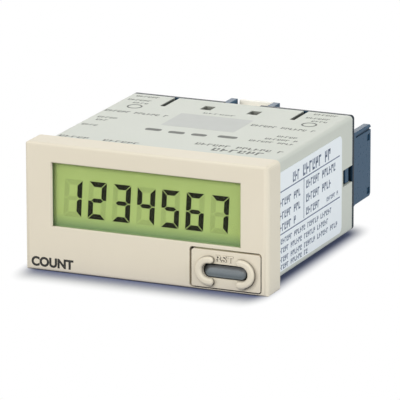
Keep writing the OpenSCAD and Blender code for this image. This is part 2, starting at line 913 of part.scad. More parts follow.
module case_shell() {
    color([0.83, 0.84, 0.82]) {
        difference() {
            along_y(case_y, case_l)
                centred_outline(case_w, case_h, case_edge_r);
            along_y(case_y - cut, case_l + cut)
                centred_outline(inner_w, inner_h, inner_r);
            // Slots and catch windows of the latch flap in the top wall.
            both_sides()
                along_z(inner_h / 2 - cut, case_h / 2 + cut) {
                    box_outline(
                        flap_slot_x - flap_slot_w / 2, flap_slot_x + flap_slot_w / 2,
                        case_l - flap_slot_l, case_l + cut
                    );
                    box_outline(
                        catch_x - catch_w / 2, catch_x + catch_w / 2,
                        case_l - catch_bar - catch_l, case_l - catch_bar
                    );
                }
            // Latch notches in the side walls.
            both_sides()
                along_x(inner_w / 2 - cut, case_w / 2 + cut)
                    box_outline(notch_y, case_l + cut, -notch_h / 2, notch_h / 2);
        }
        // Rails that hold the main board and stop the display board.
        both_sides()
            along_y(board_rear_y, main_y1) {
                box_outline(
                    inner_w / 2 - rail_w, inner_w / 2 + case_wall / 2, main_z0 - rail_h, main_z0
                );
                box_outline(
                    inner_w / 2 - rail_w, inner_w / 2 + case_wall / 2,
                    main_z1 + fit_gap, main_z1 + fit_gap + rail_h
                );
            }
    }
}

// Outline of the block's walls from the side, with fillets at the flange and round rear corners.
module wall_outline() {
    f = wall_fillet_r;
    round_outline(flange_y - cut / 2, block_y, -block_drop, block_top, wall_r);
    for (edge = [[block_top, 1], [-block_drop, -1]])
        difference() {
            translate([flange_y - cut / 2, edge[0] - f / 2 + edge[1] * f / 2])
                square([f + cut / 2, f]);
            translate([flange_y + f, edge[0] + edge[1] * f])
                circle(f);
        }
}

// Terminal block: flange, floor, end walls and dividers, guide posts, latch arms and screw bosses.
module terminal_block() {
    half = block_w / 2;
    latch_y = notch_y + fit_gap;
    color([0.29, 0.38, 0.46])
        difference() {
            union() {
                along_y(case_l, flange_y)
                    centred_outline(case_w, case_h, case_edge_r);
                along_y(case_l, base_y)
                    box_outline(-half, half, -block_drop, block_top);
                intersection() {
                    union() {
                        both_sides()
                            along_x(half - end_wall_t, half)
                                wall_outline();
                        for (i = [1 : terminals - 1])
                            translate([(i - terminals / 2) * bay_pitch, 0, 0])
                                along_x(-divider_t / 2, divider_t / 2)
                                    wall_outline();
                    }
                    along_y(case_l, block_y + cut)
                        centred_outline(case_w, case_h, case_edge_r);
                }
                // Shelf and guide posts beside the pull tab.
                along_y(case_l, flange_y + post_l) {
                    box_outline(
                        -post_x - post_t, post_x + post_t, block_top - shelf_t, block_top
                    );
                    for (side = [-1, 1])
                        translate([side * (post_x + post_t / 2), 0])
                            box_outline(
                                -post_t / 2, post_t / 2, block_top - shelf_t, block_top + post_h
                            );
                }
                // Latch arms with their teeth.
                both_sides()
                    along_z(-notch_h / 2 + fit_gap, notch_h / 2 - fit_gap) {
                        box_outline(latch_x - latch_t, latch_x, latch_y, case_l + flange_t / 2);
                        box_outline(
                            latch_x - latch_t / 2, latch_x + board_gap + latch_tooth,
                            latch_tooth_y, latch_tooth_y + latch_tooth_l
                        );
                    }
                at_terminals()
                    facing_rear(boss_y)
                        cylinder(d = hole_d + 2 * boss_wall, h = case_l + flange_t / 2 - boss_y);
            }
            // Way for the pull tab through the flange and between the posts.
            along_y(case_l - cut, tab_y1 + cut)
                box_outline(-post_x, post_x, block_top, case_h);
            // Blind holes of the screws, and the slots for the plates' tongues.
            at_terminals() {
                facing_rear(screw_tip_y - screw_gap)
                    cylinder(d = hole_d, h = block_d);
                along_y(case_l - cut, base_y + cut)
                    box_outline(
                        -tongue_w / 2 - fit_gap, tongue_w / 2 + fit_gap,
                        main_z1 - screw_z - fit_gap, main_z1 - screw_z + plate_t + fit_gap
                    );
            }
            // Grooves and catch seats of a clip-on cover in the end walls.
            both_sides() {
                along_x(half - groove_t, half + cut)
                    box_outline(
                        flange_y + wall_fillet_r, block_y + cut,
                        block_top - groove_drop - groove_w, block_top - groove_drop
                    );
                for (z = [block_top - 2 * seat_d, -block_drop + seat_d])
                    along_x(half - groove_t, half + cut)
                        translate([block_y - seat_d, z])
                            square(seat_d, center = true);
            }
        }
}

// Stamped plates: each has a tapped hole and a tongue that is soldered to the main board.
module terminal_plates() {
    tongue_z = main_z1 - screw_z;
    tongue_y = main_y1 - tongue_lap;
    color([0.78, 0.76, 0.7])
        at_terminals()
            difference() {
                union() {
                    along_y(base_y, plate_y)
                        box_outline(
                            -bay_w / 2 + 2 * fit_gap, bay_w / 2 - 2 * fit_gap, tongue_z, plate_rise
                        );
                    along_y(tongue_y, plate_y)
                        box_outline(-tongue_w / 2, tongue_w / 2, tongue_z, tongue_z + plate_t);
                }
                facing_rear(base_y - cut)
                    cylinder(d = screw_d + screw_gap, h = plate_t + 2 * cut);
            }
}

module terminal_washers() {
    color([0.8, 0.8, 0.8])
        at_terminals()
            difference() {
                along_y(plate_y, head_y)
                    centred_outline(washer_w, washer_w, washer_t);
                facing_rear(plate_y - cut)
                    cylinder(d = hole_d, h = washer_t + 2 * cut);
            }
}

// Pan head screws with a cross recess. The thread is left plain.
module terminal_screws() {
    color([0.82, 0.82, 0.83])
        at_terminals() {
            facing_rear(screw_tip_y)
                cylinder(d = screw_d, h = screw_l);
            difference() {
                facing_rear(head_y)
                    rotate_extrude()
                        half_section(screw_head_d / 2, screw_head_h, screw_head_r);
                facing_rear(head_y + screw_head_h - recess_t)
                    for (turn = [0, 90])
                        rotate([0, 0, turn])
                            along_z(0, recess_t + cut)
                                box_outline(-recess_l / 2, recess_l / 2, -recess_w / 2, recess_w / 2);
            }
        }
}

module side_label() {
    color([0.92, 0.94, 0.95])
        along_x(case_w / 2, case_w / 2 + label_t)
            round_outline(
                label_front, label_y1, -label_drop - label_h / 2, -label_drop + label_h / 2, label_r
            );
}

front_bezel();
display_window();
key_cover();
reset_key();
contact_pill();
key_pad();
lcd_polariser();
lcd_front_glass();
lcd_seal();
lcd_rear_glass();
lcd_reflector();
lcd_holder();
zebra_strip();
display_board();
board_link();
main_board();
counter_chip();
crystal();
capacitors();
chip_resistors();
battery();
battery_carrier();
battery_strip_top();
battery_strip_bottom();
case_shell();
terminal_block();
terminal_plates();
terminal_washers();
terminal_screws();
side_label();
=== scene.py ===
import math
import bmesh
import bpy
from mathutils import Matrix, Vector


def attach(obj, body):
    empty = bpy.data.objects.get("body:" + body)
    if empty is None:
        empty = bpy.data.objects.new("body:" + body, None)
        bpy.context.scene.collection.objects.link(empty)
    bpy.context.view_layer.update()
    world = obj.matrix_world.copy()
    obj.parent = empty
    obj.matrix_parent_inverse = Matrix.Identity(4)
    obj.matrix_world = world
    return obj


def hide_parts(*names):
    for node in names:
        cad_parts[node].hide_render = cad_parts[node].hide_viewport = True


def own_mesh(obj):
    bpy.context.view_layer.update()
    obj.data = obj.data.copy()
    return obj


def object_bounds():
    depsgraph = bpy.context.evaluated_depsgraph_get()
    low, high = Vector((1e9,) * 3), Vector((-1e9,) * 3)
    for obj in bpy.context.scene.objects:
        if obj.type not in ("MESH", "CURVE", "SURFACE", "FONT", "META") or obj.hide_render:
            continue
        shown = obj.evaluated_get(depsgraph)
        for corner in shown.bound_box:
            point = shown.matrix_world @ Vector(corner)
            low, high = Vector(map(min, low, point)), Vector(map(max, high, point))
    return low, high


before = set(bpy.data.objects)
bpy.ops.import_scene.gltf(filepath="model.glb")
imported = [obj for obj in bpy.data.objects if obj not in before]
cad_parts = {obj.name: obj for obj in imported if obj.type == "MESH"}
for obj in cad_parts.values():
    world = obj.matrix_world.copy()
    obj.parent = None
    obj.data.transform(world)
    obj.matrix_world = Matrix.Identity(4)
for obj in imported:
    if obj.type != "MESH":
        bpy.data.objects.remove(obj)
cad_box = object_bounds()


# The photograph: taken from the front right and a little above with a long lens, so that the
# counter's edges run almost parallel. The frame is square, 400 by 400.
MM = 0.001
lens = bpy.data.cameras.new("photograph")
lens.sensor_width = 36.0
lens.lens = 434.34
lens.clip_start, lens.clip_end = 0.05, 20.0
camera = bpy.data.objects.new("photograph", lens)
camera.location = Vector((343.467, -766.255, 230.782)) * MM
camera.rotation_euler = [math.radians(turn) for turn in (74.7643, 0.1039, 23.5942)]
bpy.context.scene.collection.objects.link(camera)
bpy.context.scene.camera = camera
bpy.context.scene.view_settings.view_transform = "Standard"


# The front bezel: one moulding in cream ABS, with the window, the pocket of the key cover and the
# socket of the case. Its tool was spark eroded, so the faces are matt and only the rounded edges
# catch the light.
def linear(code):
    """A colour written as an sRGB hex value, as the linear colour that the shaders take."""
    parts = [int(code[i : i + 2], 16) / 255 for i in (0, 2, 4)]
    return [p / 12.92 if p <= 0.04045 else ((p + 0.055) / 1.055) ** 2.4 for p in parts] + [1.0]


def add(tree, kind, sockets=(), **settings):
    """Adds a node with its settings. A socket is given a plain value, or an output to be linked to."""
    made = tree.nodes.new(kind)
    for name, value in settings.items():
        setattr(made, name, value)
    for key, value in dict(sockets).items():
        if isinstance(value, bpy.types.NodeSocket):
            tree.links.new(value, made.inputs[key])
        else:
            made.inputs[key].default_value = value
    return made


def finish_named(name):
    """An empty material and its node tree."""
    made = bpy.data.materials.new(name)
    made.use_nodes = True
    made.node_tree.nodes.clear()
    return made, made.node_tree


def dress(node, finish):
    """Gives a CAD node its finish."""
    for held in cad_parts[node].material_slots:
        held.material = finish


def extent(node):
    """The two corners of a CAD node's box, in millimetres."""
    spots = [vertex.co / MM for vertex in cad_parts[node].data.vertices]
    return [Vector([pick(spot[i] for spot in spots) for i in range(3)]) for pick in (min, max)]


def place(bm, name, finish, body="housing"):
    """Makes a bmesh a piece of the counter, which rides on a body."""
    data = bpy.data.meshes.new(name)
    bm.to_mesh(data)
    bm.free()
    data.materials.append(finish)
    made = bpy.data.objects.new(name, data)
    bpy.context.scene.collection.objects.link(made)
    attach(made, body)
    return made


def merged(node):
    """A copy of a CAD node as one closed skin, to be shaped further."""
    bm = bmesh.new()
    bm.from_mesh(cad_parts[node].data)
    bmesh.ops.remove_doubles(bm, verts=bm.verts, dist=0.001 * MM)
    bmesh.ops.dissolve_limit(bm, angle_limit=math.radians(0.5), verts=bm.verts, edges=bm.edges)
    return bm


def moulded(bm, node, name, width, finish, body="housing"):
    """Shows a bmesh in place of a CAD node. Its sharp edges are broken to a width, unless that is 0."""
    crisp = math.radians(50)
    sharp = [e for e in bm.edges if len(e.link_faces) == 2 and e.calc_face_angle() > crisp]
    if width:
        bmesh.ops.bevel(
            bm, geom=sharp, offset=width, offset_type="OFFSET", segments=2, profile=0.5,
            affect="EDGES", material=-1,
        )
    for face in bm.faces:
        face.smooth = True
    for edge in bm.edges:
        edge.smooth = len(edge.link_faces) == 2 and edge.calc_face_angle() < crisp
    made = place(bm, name, finish, body)
    evened = made.modifiers.new("even_faces", "WEIGHTED_NORMAL")
    evened.keep_sharp = True
    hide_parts(node)
    return made


# Cream ABS with a fine spark-eroded skin: matt, and a little warmer where the melt flowed thicker. It is
# darkened to brown by painted shade in the seams and hollows, and on the sides turned away from a light
# at the upper left. The real grain is about 0.05 mm, and is drawn at 0.3 mm so that it shows.
cream_abs, tree = finish_named("cream_moulded_abs")
spot = add(tree, "ShaderNodeTexCoord").outputs["Object"]
flow = add(tree, "ShaderNodeTexNoise", {"Vector": spot, "Scale": 1 / (15 * MM), "Detail": 2.0})
grain = add(tree, "ShaderNodeTexNoise", {"Vector": spot, "Scale": 1 / (0.3 * MM), "Detail": 3.0})
tone = add(
    tree, "ShaderNodeMix",
    {0: flow.outputs["Fac"], 6: linear("E5DBC6"), 7: linear("EAE0CC")}, data_type="RGBA",
)
# Painted shade: occlusion seen towards a light at the upper left darkens hollows, the feet of the guards
# and the sides turned from that light.
facing = add(tree, "ShaderNodeNewGeometry").outputs["Normal"]
leaning = add(tree, "ShaderNodeVectorMath", {0: facing, 1: (-0.45, 0.0, 0.35)}, operation="ADD")
lightward = add(tree, "ShaderNodeVectorMath", {0: leaning.outputs[0]}, operation="NORMALIZE")
shade = add(
    tree, "ShaderNodeAmbientOcclusion", {"Distance": 1.2 * MM, "Normal": lightward.outputs[0]},
    samples=8, only_local=True,
)
lit_share = add(
    tree, "ShaderNodeMapRange",
    {"Value": shade.outputs["AO"], "From Min": 0.34, "From Max": 0.86, "To Min": 0.0, "To Max": 1.0},
)
# Painted shade: occlusion within 0.3 mm by any part darkens the narrow seams and gaps.
seam = add(tree, "ShaderNodeAmbientOcclusion", {"Distance": 0.3 * MM}, samples=8)
open_share = add(
    tree, "ShaderNodeMapRange",
    {"Value": seam.outputs["AO"], "From Min": 0.3, "From Max": 0.7, "To Min": 0.0, "To Max": 1.0},
)
unshaded_share = add(
    tree, "ShaderNodeMath", {0: open_share.outputs["Result"], 1: lit_share.outputs["Result"]},
    operation="MULTIPLY",
)
tone = add(
    tree, "ShaderNodeMix",
    {0: unshaded_share.outputs[0], 6: linear("40352A"), 7: tone.outputs[2]}, data_type="RGBA",
)
dull = add(
    tree, "ShaderNodeMapRange",
    {"Value": grain.outputs["Fac"], "From Min": 0.3, "From Max": 0.7, "To Min": 0.46, "To Max": 0.6},
)
skin = add(
    tree, "ShaderNodeBump",
    {"Height": grain.outputs["Fac"], "Strength": 0.12, "Distance": 0.02 * MM},
)
shader = add(
    tree, "ShaderNodeBsdfPrincipled",
    {
        "Base Color": tone.outputs[2], "Roughness": dull.outputs["Result"],
        "Normal": skin.outputs["Normal"], "IOR": 1.53, "Specular IOR Level": 0.3,
    },
)
add(tree, "ShaderNodeOutputMaterial", {"Surface": shader.outputs["BSDF"]})

# The chamfer round the window is mitred at its corners: what lies behind the front face there is
# drawn forward into it.
front_y = extent("front_bezel")[0].y
lip_chamfer, bezel_edge, near = 0.2, 0.06 * MM, 0.01
bezel = merged("front_bezel")
in_front = {
    (round(v.co.x / MM, 2), round(v.co.z / MM, 2)): v
    for v in bezel.verts if abs(v.co.y / MM - front_y) < near
}
behind = [v for v in bezel.verts if abs(v.co.y / MM - front_y - lip_chamfer) < near]
mitre = {v: in_front.get((round(v.co.x / MM, 2), round(v.co.z / MM, 2))) for v in behind}
bmesh.ops.weld_verts(bezel, targetmap={v: front for v, front in mitre.items() if front})
moulded(bezel, "front_bezel", "bezel_moulding", bezel_edge, cream_abs)


# The legend: one generic word, pad printed in dark ink on the bezel's lower left. The ink stands
# only some hundredths of a millimetre proud.
def lettering(words, width, height, depth, edge=0.0, heft=0.0):
    """A flat word as a bmesh: it lies in X and Y from the origin, fitted to a width and a height."""
    curve = bpy.data.curves.new("word", "FONT")
    curve.body = words
    curve.resolution_u = 6
    curve.offset = heft
    curve.extrude = 0.5
    flat = bpy.data.objects.new("word", curve)
    bpy.context.scene.collection.objects.link(flat)
    bpy.context.view_layer.update()
    cut = bpy.data.meshes.new_from_object(flat.evaluated_get(bpy.context.evaluated_depsgraph_get()))
    bpy.data.objects.remove(flat)
    bpy.data.curves.remove(curve)
    bm = bmesh.new()
    bm.from_mesh(cut)
    bpy.data.meshes.remove(cut)
    bmesh.ops.remove_doubles(bm, verts=bm.verts, dist=1e-4)
    low = Vector([min(v.co[i] for v in bm.verts) for i in range(3)])
    high = Vector([max(v.co[i] for v in bm.verts) for i in range(3)])
    size = high - low
    bmesh.ops.translate(bm, verts=bm.verts, vec=-low)
    bmesh.ops.scale(bm, verts=bm.verts, vec=(width / size.x, height / size.y, depth / size.z))
    if edge:
        crisp = 0.8
        upper = [e for e in bm.edges if all(v.co.z > depth / 2 for v in e.verts)]
        rim = [e for e in upper if e.calc_face_angle(0) > crisp]
        bmesh.ops.bevel(
            bm, geom=rim, offset=edge, offset_type="OFFSET", segments=2, profile=0.5,
            affect="EDGES", material=-1,
        )
    bmesh.ops.recalc_face_normals(bm, faces=bm.faces)
    return bm


# Dark pad-printing ink: dense and matt, with slight pinholes where the pad lifted.
legend_ink, tree = finish_named("dark_pad_printing_ink")
spot = add(tree, "ShaderNodeTexCoord").outputs["Object"]
pinholes = add(tree, "ShaderNodeTexNoise", {"Vector": spot, "Scale": 1 / (0.25 * MM), "Detail": 2.0})
tone = add(
    tree, "ShaderNodeMix",
    {0: pinholes.outputs["Fac"], 6: linear("1E1E19"), 7: linear("2C2B25")}, data_type="RGBA",
)
shader = add(
    tree, "ShaderNodeBsdfPrincipled",
    {"Base Color": tone.outputs[2], "Roughness": 0.55, "IOR": 1.5},
)
add(tree, "ShaderNodeOutputMaterial", {"Surface": shader.outputs["BSDF"]})

upright = Matrix.Rotation(math.pi / 2, 4, "X")
legend_x, legend_z = -22.7, -11.25
legend_w, legend_h, legend_t = 8.4, 1.85, 0.02
legend = lettering("COUNT", legend_w * MM, legend_h * MM, legend_t * MM, heft=0.045)
seat = Matrix.Translation(Vector((legend_x, front_y, legend_z)) * MM)
bmesh.ops.transform(legend, verts=legend.verts, matrix=seat @ upright)
place(legend, "legend_count", legend_ink)


# The window pane: clear acrylic, cut from sheet and cemented behind the bezel's lip. It is polished,
# so only a faint gloss tells that it is there.
window_acrylic, tree = finish_named("clear_acrylic_pane")
spot = add(tree, "ShaderNodeTexCoord").outputs["Object"]
ripple = add(tree, "ShaderNodeTexNoise", {"Vector": spot, "Scale": 1 / (6 * MM), "Detail": 1.0})
sway = add(
    tree, "ShaderNodeBump",
    {"Height": ripple.outputs["Fac"], "Strength": 0.05, "Distance": 0.05 * MM},
)
shader = add(
    tree, "ShaderNodeBsdfPrincipled",
    {
        "Base Color": linear("DDE8D2"), "Roughness": 0.12, "IOR": 1.49, "Alpha": 0.008,
        "Normal": sway.outputs["Normal"],
    },
)
add(tree, "ShaderNodeOutputMaterial", {"Surface": shader.outputs["BSDF"]})
dress("display_window", window_acrylic)


# The display cell: two sheets of glass with a sealed gap for the liquid crystal between them, a
# polarising film on the front and a green reflector film behind. The holder presses it forward,
# and a striped rubber strip joins its contacts to the display board.
bpy.context.scene.cycles.transparent_max_bounces = 32
polariser_film, tree = finish_named("polarising_film")
spot = add(tree, "ShaderNodeTexCoord").outputs["Object"]
haze = add(tree, "ShaderNodeTexNoise", {"Vector": spot, "Scale": 1 / (9 * MM), "Detail": 2.0})
tone = add(
    tree, "ShaderNodeMix",
    {0: haze.outputs["Fac"], 6: linear("A9B58A"), 7: linear("B3BE94")}, data_type="RGBA",
)
shader = add(
    tree, "ShaderNodeBsdfPrincipled",
    {"Base Color": tone.outputs[2], "Roughness": 0.35, "IOR": 1.49, "Alpha": 0.012},
)
add(tree, "ShaderNodeOutputMaterial", {"Surface": shader.outputs["BSDF"]})
dress("lcd_polariser", polariser_film)

# Thin soda-lime glass: almost nothing of it shows but a trace of green.
cell_glass, tree = finish_named("thin_soda_lime_glass")
spot = add(tree, "ShaderNodeTexCoord").outputs["Object"]
draw = add(tree, "ShaderNodeTexNoise", {"Vector": spot, "Scale": 1 / (12 * MM), "Detail": 1.0})
tone = add(
    tree, "ShaderNodeMix",
    {0: draw.outputs["Fac"], 6: linear("C4D6B4"), 7: linear("CADBBA")}, data_type="RGBA",
)
shader = add(
    tree, "ShaderNodeBsdfPrincipled",
    {"Base Color": tone.outputs[2], "Roughness": 0.05, "IOR": 1.52, "Alpha": 0.004},
)
add(tree, "ShaderNodeOutputMaterial", {"Surface": shader.outputs["BSDF"]})
dress("lcd_front_glass", cell_glass)
dress("lcd_rear_glass", cell_glass)

# Printed epoxy seal: clear enough to take the green of the film behind, and matt.
cell_seal, tree = finish_named("printed_epoxy_seal")
spot = add(tree, "ShaderNodeTexCoord").outputs["Object"]
mesh_print = add(tree, "ShaderNodeTexNoise", {"Vector": spot, "Scale": 1 / (0.4 * MM), "Detail": 2.0})
tone = add(
    tree, "ShaderNodeMix",
    {0: mesh_print.outputs["Fac"], 6: linear("98B276"), 7: linear("A2BC80")}, data_type="RGBA",
)
shader = add(
    tree, "ShaderNodeBsdfPrincipled",
    {"Base Color": tone.outputs[2], "Roughness": 0.6, "IOR": 1.55},
)
add(tree, "ShaderNodeOutputMaterial", {"Surface": shader.outputs["BSDF"]})
dress("lcd_seal", cell_seal)

# Green transflective film: its rear polariser and foil give the display its colour, with a faint
# sparkle. The foil's real emboss is about 0.05 mm, and is drawn at 0.25 mm so that it shows.
reflector_film, tree = finish_named("green_reflector_film")
spot = add(tree, "ShaderNodeTexCoord").outputs["Object"]
sparkle = add(tree, "ShaderNodeTexNoise", {"Vector": spot, "Scale": 1 / (0.25 * MM), "Detail": 2.0})
cloud = add(tree, "ShaderNodeTexNoise", {"Vector": spot, "Scale": 1 / (10 * MM), "Detail": 2.0})
soft_tone = add(
    tree, "ShaderNodeMix",
    {0: cloud.outputs["Fac"], 6: linear("B7CC7C"), 7: linear("BED184")}, data_type="RGBA",
)
tone = add(
    tree, "ShaderNodeMix",
    {0: sparkle.outputs["Fac"], 6: soft_tone.outputs[2], 7: linear("C6D890")}, data_type="RGBA",
)
emboss = add(
    tree, "ShaderNodeBump",
    {"Height": sparkle.outputs["Fac"], "Strength": 0.1, "Distance": 0.02 * MM},
)
shader = add(
    tree, "ShaderNodeBsdfPrincipled",
    {"Base Color": tone.outputs[2], "Roughness": 0.55, "IOR": 1.1, "Normal": emboss.outputs["Normal"]},
)
add(tree, "ShaderNodeOutputMaterial", {"Surface": shader.outputs["BSDF"]})
dress("lcd_reflector", reflector_film)

# White ABS of the holder: opaque and matt.
holder_abs, tree = finish_named("white_moulded_abs")
spot = add(tree, "ShaderNodeTexCoord").outputs["Object"]
grain = add(tree, "ShaderNodeTexNoise", {"Vector": spot, "Scale": 1 / (0.3 * MM), "Detail": 3.0})
tone = add(
    tree, "ShaderNodeMix",
    {0: grain.outputs["Fac"], 6: linear("E6E6E1"), 7: linear("ECECE8")}, data_type="RGBA",
)
shader = add(
    tree, "ShaderNodeBsdfPrincipled",
    {"Base Color": tone.outputs[2], "Roughness": 0.5, "IOR": 1.53},
)
add(tree, "ShaderNodeOutputMaterial", {"Surface": shader.outputs["BSDF"]})
dress("lcd_holder", holder_abs)

# Silicone rubber in thin layers, clear and carbon-filled by turns, that cross the strip. The real ones
# are about 0.1 mm apart, and are drawn 2.5 mm apart so that they show. At scale 1 the waves are
# pi / 10 apart.
zebra_rubber, tree = finish_named("layered_contact_rubber")
layer_pitch = 0.8 * math.pi * MM
spot = add(tree, "ShaderNodeTexCoord").outputs["Object"]
layers = add(
    tree, "ShaderNodeTexWave",
    {"Vector": spot, "Scale": math.pi / 10 / layer_pitch, "Distortion": 0.0},
    wave_type="BANDS", bands_direction="X",
)
tone = add(
    tree, "ShaderNodeMix",
    {0: layers.outputs["Fac"], 6: linear("26262A"), 7: linear("8B8B8E")}, data_type="RGBA",
)
shader = add(
    tree, "ShaderNodeBsdfPrincipled",
    {"Base Color": tone.outputs[2], "Roughness": 0.65, "IOR": 1.42},
)
add(tree, "ShaderNodeOutputMaterial", {"Surface": shader.outputs["BSDF"]})
dress("zebra_strip", zebra_rubber)


# The segments: seven figures of seven bars each in the liquid crystal, leaning a little to the
# right. The driven bars are near black, and the others show as a faint grey-green.
figure_w, figure_h, figure_step, lean = 3.5, 7.0, 4.81, math.tan(math.radians(3.2))
bar, middle_bar, nick = 0.95, 0.38, 0.11
first_x, figure_z = -16.7, -1.63
crystal_low, crystal_high = extent("lcd_seal")
gap_y0, gap_y1 = crystal_low.y + 0.01, crystal_high.y - 0.05
half_h = figure_h / 2
top_bar = [
    (nick, figure_h), (figure_w - nick, figure_h),
    (figure_w - bar - nick, figure_h - bar), (bar + nick, figure_h - bar),
]
upper_right = [
    (figure_w, figure_h - nick), (figure_w, half_h + nick), (figure_w - bar * 0.55, half_h + nick),
    (figure_w - bar, half_h + middle_bar + nick), (figure_w - bar, figure_h - bar - nick),
]
centre_bar = [
    (bar * 0.5 + nick, half_h), (bar + nick, half_h + middle_bar),
    (figure_w - bar - nick, half_h + middle_bar), (figure_w - bar * 0.5 - nick, half_h),
    (figure_w - bar - nick, half_h - middle_bar), (bar + nick, half_h - middle_bar),
]
bars = {
    "a": top_bar,
    "b": upper_right,
    "c": [(u, figure_h - v) for u, v in upper_right],
    "d": [(u, figure_h - v) for u, v in top_bar],
    "e": [(figure_w - u, figure_h - v) for u, v in upper_right],
    "f": [(figure_w - u, v) for u, v in upper_right],
    "g": centre_bar,
}
driven = ["bc", "abged", "abgcd", "fgbc", "afgcd", "afgecd", "abc"]


def thicken(bm, reach):
    """Draws all the flat faces of a bmesh out along a vector, so that they become thin solids."""
    drawn = bmesh.ops.extrude_face_region(bm, geom=bm.faces[:])
    bmesh.ops.translate(
        bm, verts=[v for v in drawn["geom"] if isinstance(v, bmesh.types.BMVert)], vec=reach,
    )
    bmesh.ops.recalc_face_normals(bm, faces=bm.faces)


def flat_boxes(boxes, corner=0.0):
    """A bmesh of flat rectangles in X and Y, each given by its left, right, lower and upper side."""
    bm = bmesh.new()
    for left, right, low, high in boxes:
        around = [(left, low), (right, low), (right, high), (left, high)]
        bm.faces.new([bm.verts.new(Vector((u, v, 0)) * MM) for u, v in around])
    if corner:
        bmesh.ops.bevel(
            bm, geom=bm.verts[:], offset=corner * MM, offset_type="OFFSET", segments=4, profile=0.5,
            affect="VERTICES", material=-1,
        )
    return bm


def figure_bars(wanted):
    """The bars that are wanted of all seven figures, as thin solids in the cell's gap."""
    bm = bmesh.new()
    for i, lit in enumerate(driven):
        for name, outline in bars.items():
            if (name in lit) == wanted:
                corners = [
                    bm.verts.new(Vector((
                        first_x + i * figure_step + u + lean * (v - half_h), gap_y0, figure_z + v,
                    )) * MM)
                    for u, v in outline
                ]
                bm.faces.new(corners)
    thicken(bm, (0, (gap_y1 - gap_y0) * MM, 0))
    return bm


# Driven liquid crystal: it stops the light, a brownish black with soft uneven density. It lies
# between glass of its own index, so it has next to no gloss.
driven_crystal, tree = finish_named("driven_liquid_crystal")
spot = add(tree, "ShaderNodeTexCoord").outputs["Object"]
density = add(tree, "ShaderNodeTexNoise", {"Vector": spot, "Scale": 1 / (1.2 * MM), "Detail": 2.0})
tone = add(
    tree, "ShaderNodeMix",
    {0: density.outputs["Fac"], 6: linear("14140A"), 7: linear("1D1D10")}, data_type="RGBA",
)
shader = add(
    tree, "ShaderNodeBsdfPrincipled",
    {"Base Color": tone.outputs[2], "Roughness": 0.6, "IOR": 1.05},
)
add(tree, "ShaderNodeOutputMaterial", {"Surface": shader.outputs["BSDF"]})
place(figure_bars(True), "segments_driven", driven_crystal)

# Idle liquid crystal: nearly clear, so the bars are only a shade darker than the film behind.
idle_crystal, tree = finish_named("idle_liquid_crystal")
spot = add(tree, "ShaderNodeTexCoord").outputs["Object"]
density = add(tree, "ShaderNodeTexNoise", {"Vector": spot, "Scale": 1 / (1.2 * MM), "Detail": 2.0})
tone = add(
    tree, "ShaderNodeMix",
    {0: density.outputs["Fac"], 6: linear("5D6A44"), 7: linear("66734B")}, data_type="RGBA",
)
shader = add(
    tree, "ShaderNodeBsdfPrincipled",
    {"Base Color": tone.outputs[2], "Roughness": 0.6, "IOR": 1.05, "Alpha": 0.06},
)
add(tree, "ShaderNodeOutputMaterial", {"Surface": shader.outputs["BSDF"]})
place(figure_bars(False), "segments_idle", idle_crystal)

# Liquid crystal between the glasses: a cloudy pale green, which most of the daylight turns back from
# before it comes to the film behind. Near the foot of the window a deeper green is painted as shade,
# where less light gets in.
seal_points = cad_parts["lcd_seal"].data.vertices
seal_x, seal_z = (sorted({round(point.co[i] / MM, 3) for point in seal_points}) for i in (0, 2))
foot_z, foot_h = seal_z[1], 2.3
crystal_fluid, tree = finish_named("cloudy_liquid_crystal")
spot = add(tree, "ShaderNodeTexCoord").outputs["Object"]
cloud = add(tree, "ShaderNodeTexNoise", {"Vector": spot, "Scale": 1 / (8 * MM), "Detail": 2.0})
tone = add(
    tree, "ShaderNodeMix",
    {0: cloud.outputs["Fac"], 6: linear("BFD67F"), 7: linear("C8DD8A")}, data_type="RGBA",
)
apart = add(tree, "ShaderNodeSeparateXYZ", {"Vector": spot})
above_foot = add(
    tree, "ShaderNodeMapRange",
    {
        "Value": apart.outputs["Z"], "From Min": foot_z * MM, "From Max": (foot_z + foot_h) * MM,
        "To Min": 0.0, "To Max": 1.0,
    },
)
tone = add(
    tree, "ShaderNodeMix",
    {0: above_foot.outputs["Result"], 6: linear("97B77D"), 7: tone.outputs[2]}, data_type="RGBA",
)
shader = add(
    tree, "ShaderNodeBsdfPrincipled",
    {"Base Color": tone.outputs[2], "Roughness": 0.6, "IOR": 1.05, "Alpha": 0.8},
)
add(tree, "ShaderNodeOutputMaterial", {"Surface": shader.outputs["BSDF"]})
fluid_t, fluid_y = 0.03, gap_y1 + 0.04
fluid = flat_boxes([(seal_x[1], seal_x[-2], seal_z[1], seal_z[-2])])
thicken(fluid, (0, 0, fluid_t * MM))
seat = Matrix.Translation((0, fluid_y * MM, 0))
bmesh.ops.transform(fluid, verts=fluid.verts, matrix=seat @ upright)
place(fluid, "crystal_layer", crystal_fluid)


# The key cover: a small cream plate that snaps into its pocket, with two C-shaped guards round the
# key and three raised letters. It is the bezel's own ABS. Its plate has settled towards the right and
# the foot of the pocket, so the seam is widest at the left and the top.
cover_settle, cover_rim = 0.1 * MM, 0.65 * MM
cover = merged("key_cover")
cover_low, cover_high = (corner * MM for corner in extent("key_cover"))
for v in cover.verts:
    if min(*(v.co - cover_low).xz, *(cover_high - v.co).xz) < cover_rim:
        v.co += Vector((cover_settle, 0, -cover_settle))
moulded(cover, "key_cover", "cover_moulding", 0, cream_abs)

letters_x, letters_z, letters_sunk = 13.85, -6.4, 0.05
letters_w, letters_h, letters_t, letters_edge = 3.4, 1.2, 0.3, 0.05
letters = lettering(
    "RST", letters_w * MM, letters_h * MM, letters_t * MM, edge=letters_edge * MM, heft=0.015,
)
seat = Matrix.Translation(Vector((letters_x, front_y + letters_sunk, letters_z)) * MM)
bmesh.ops.transform(letters, verts=letters.verts, matrix=seat @ upright)
place(letters, "raised_letters", cream_abs)


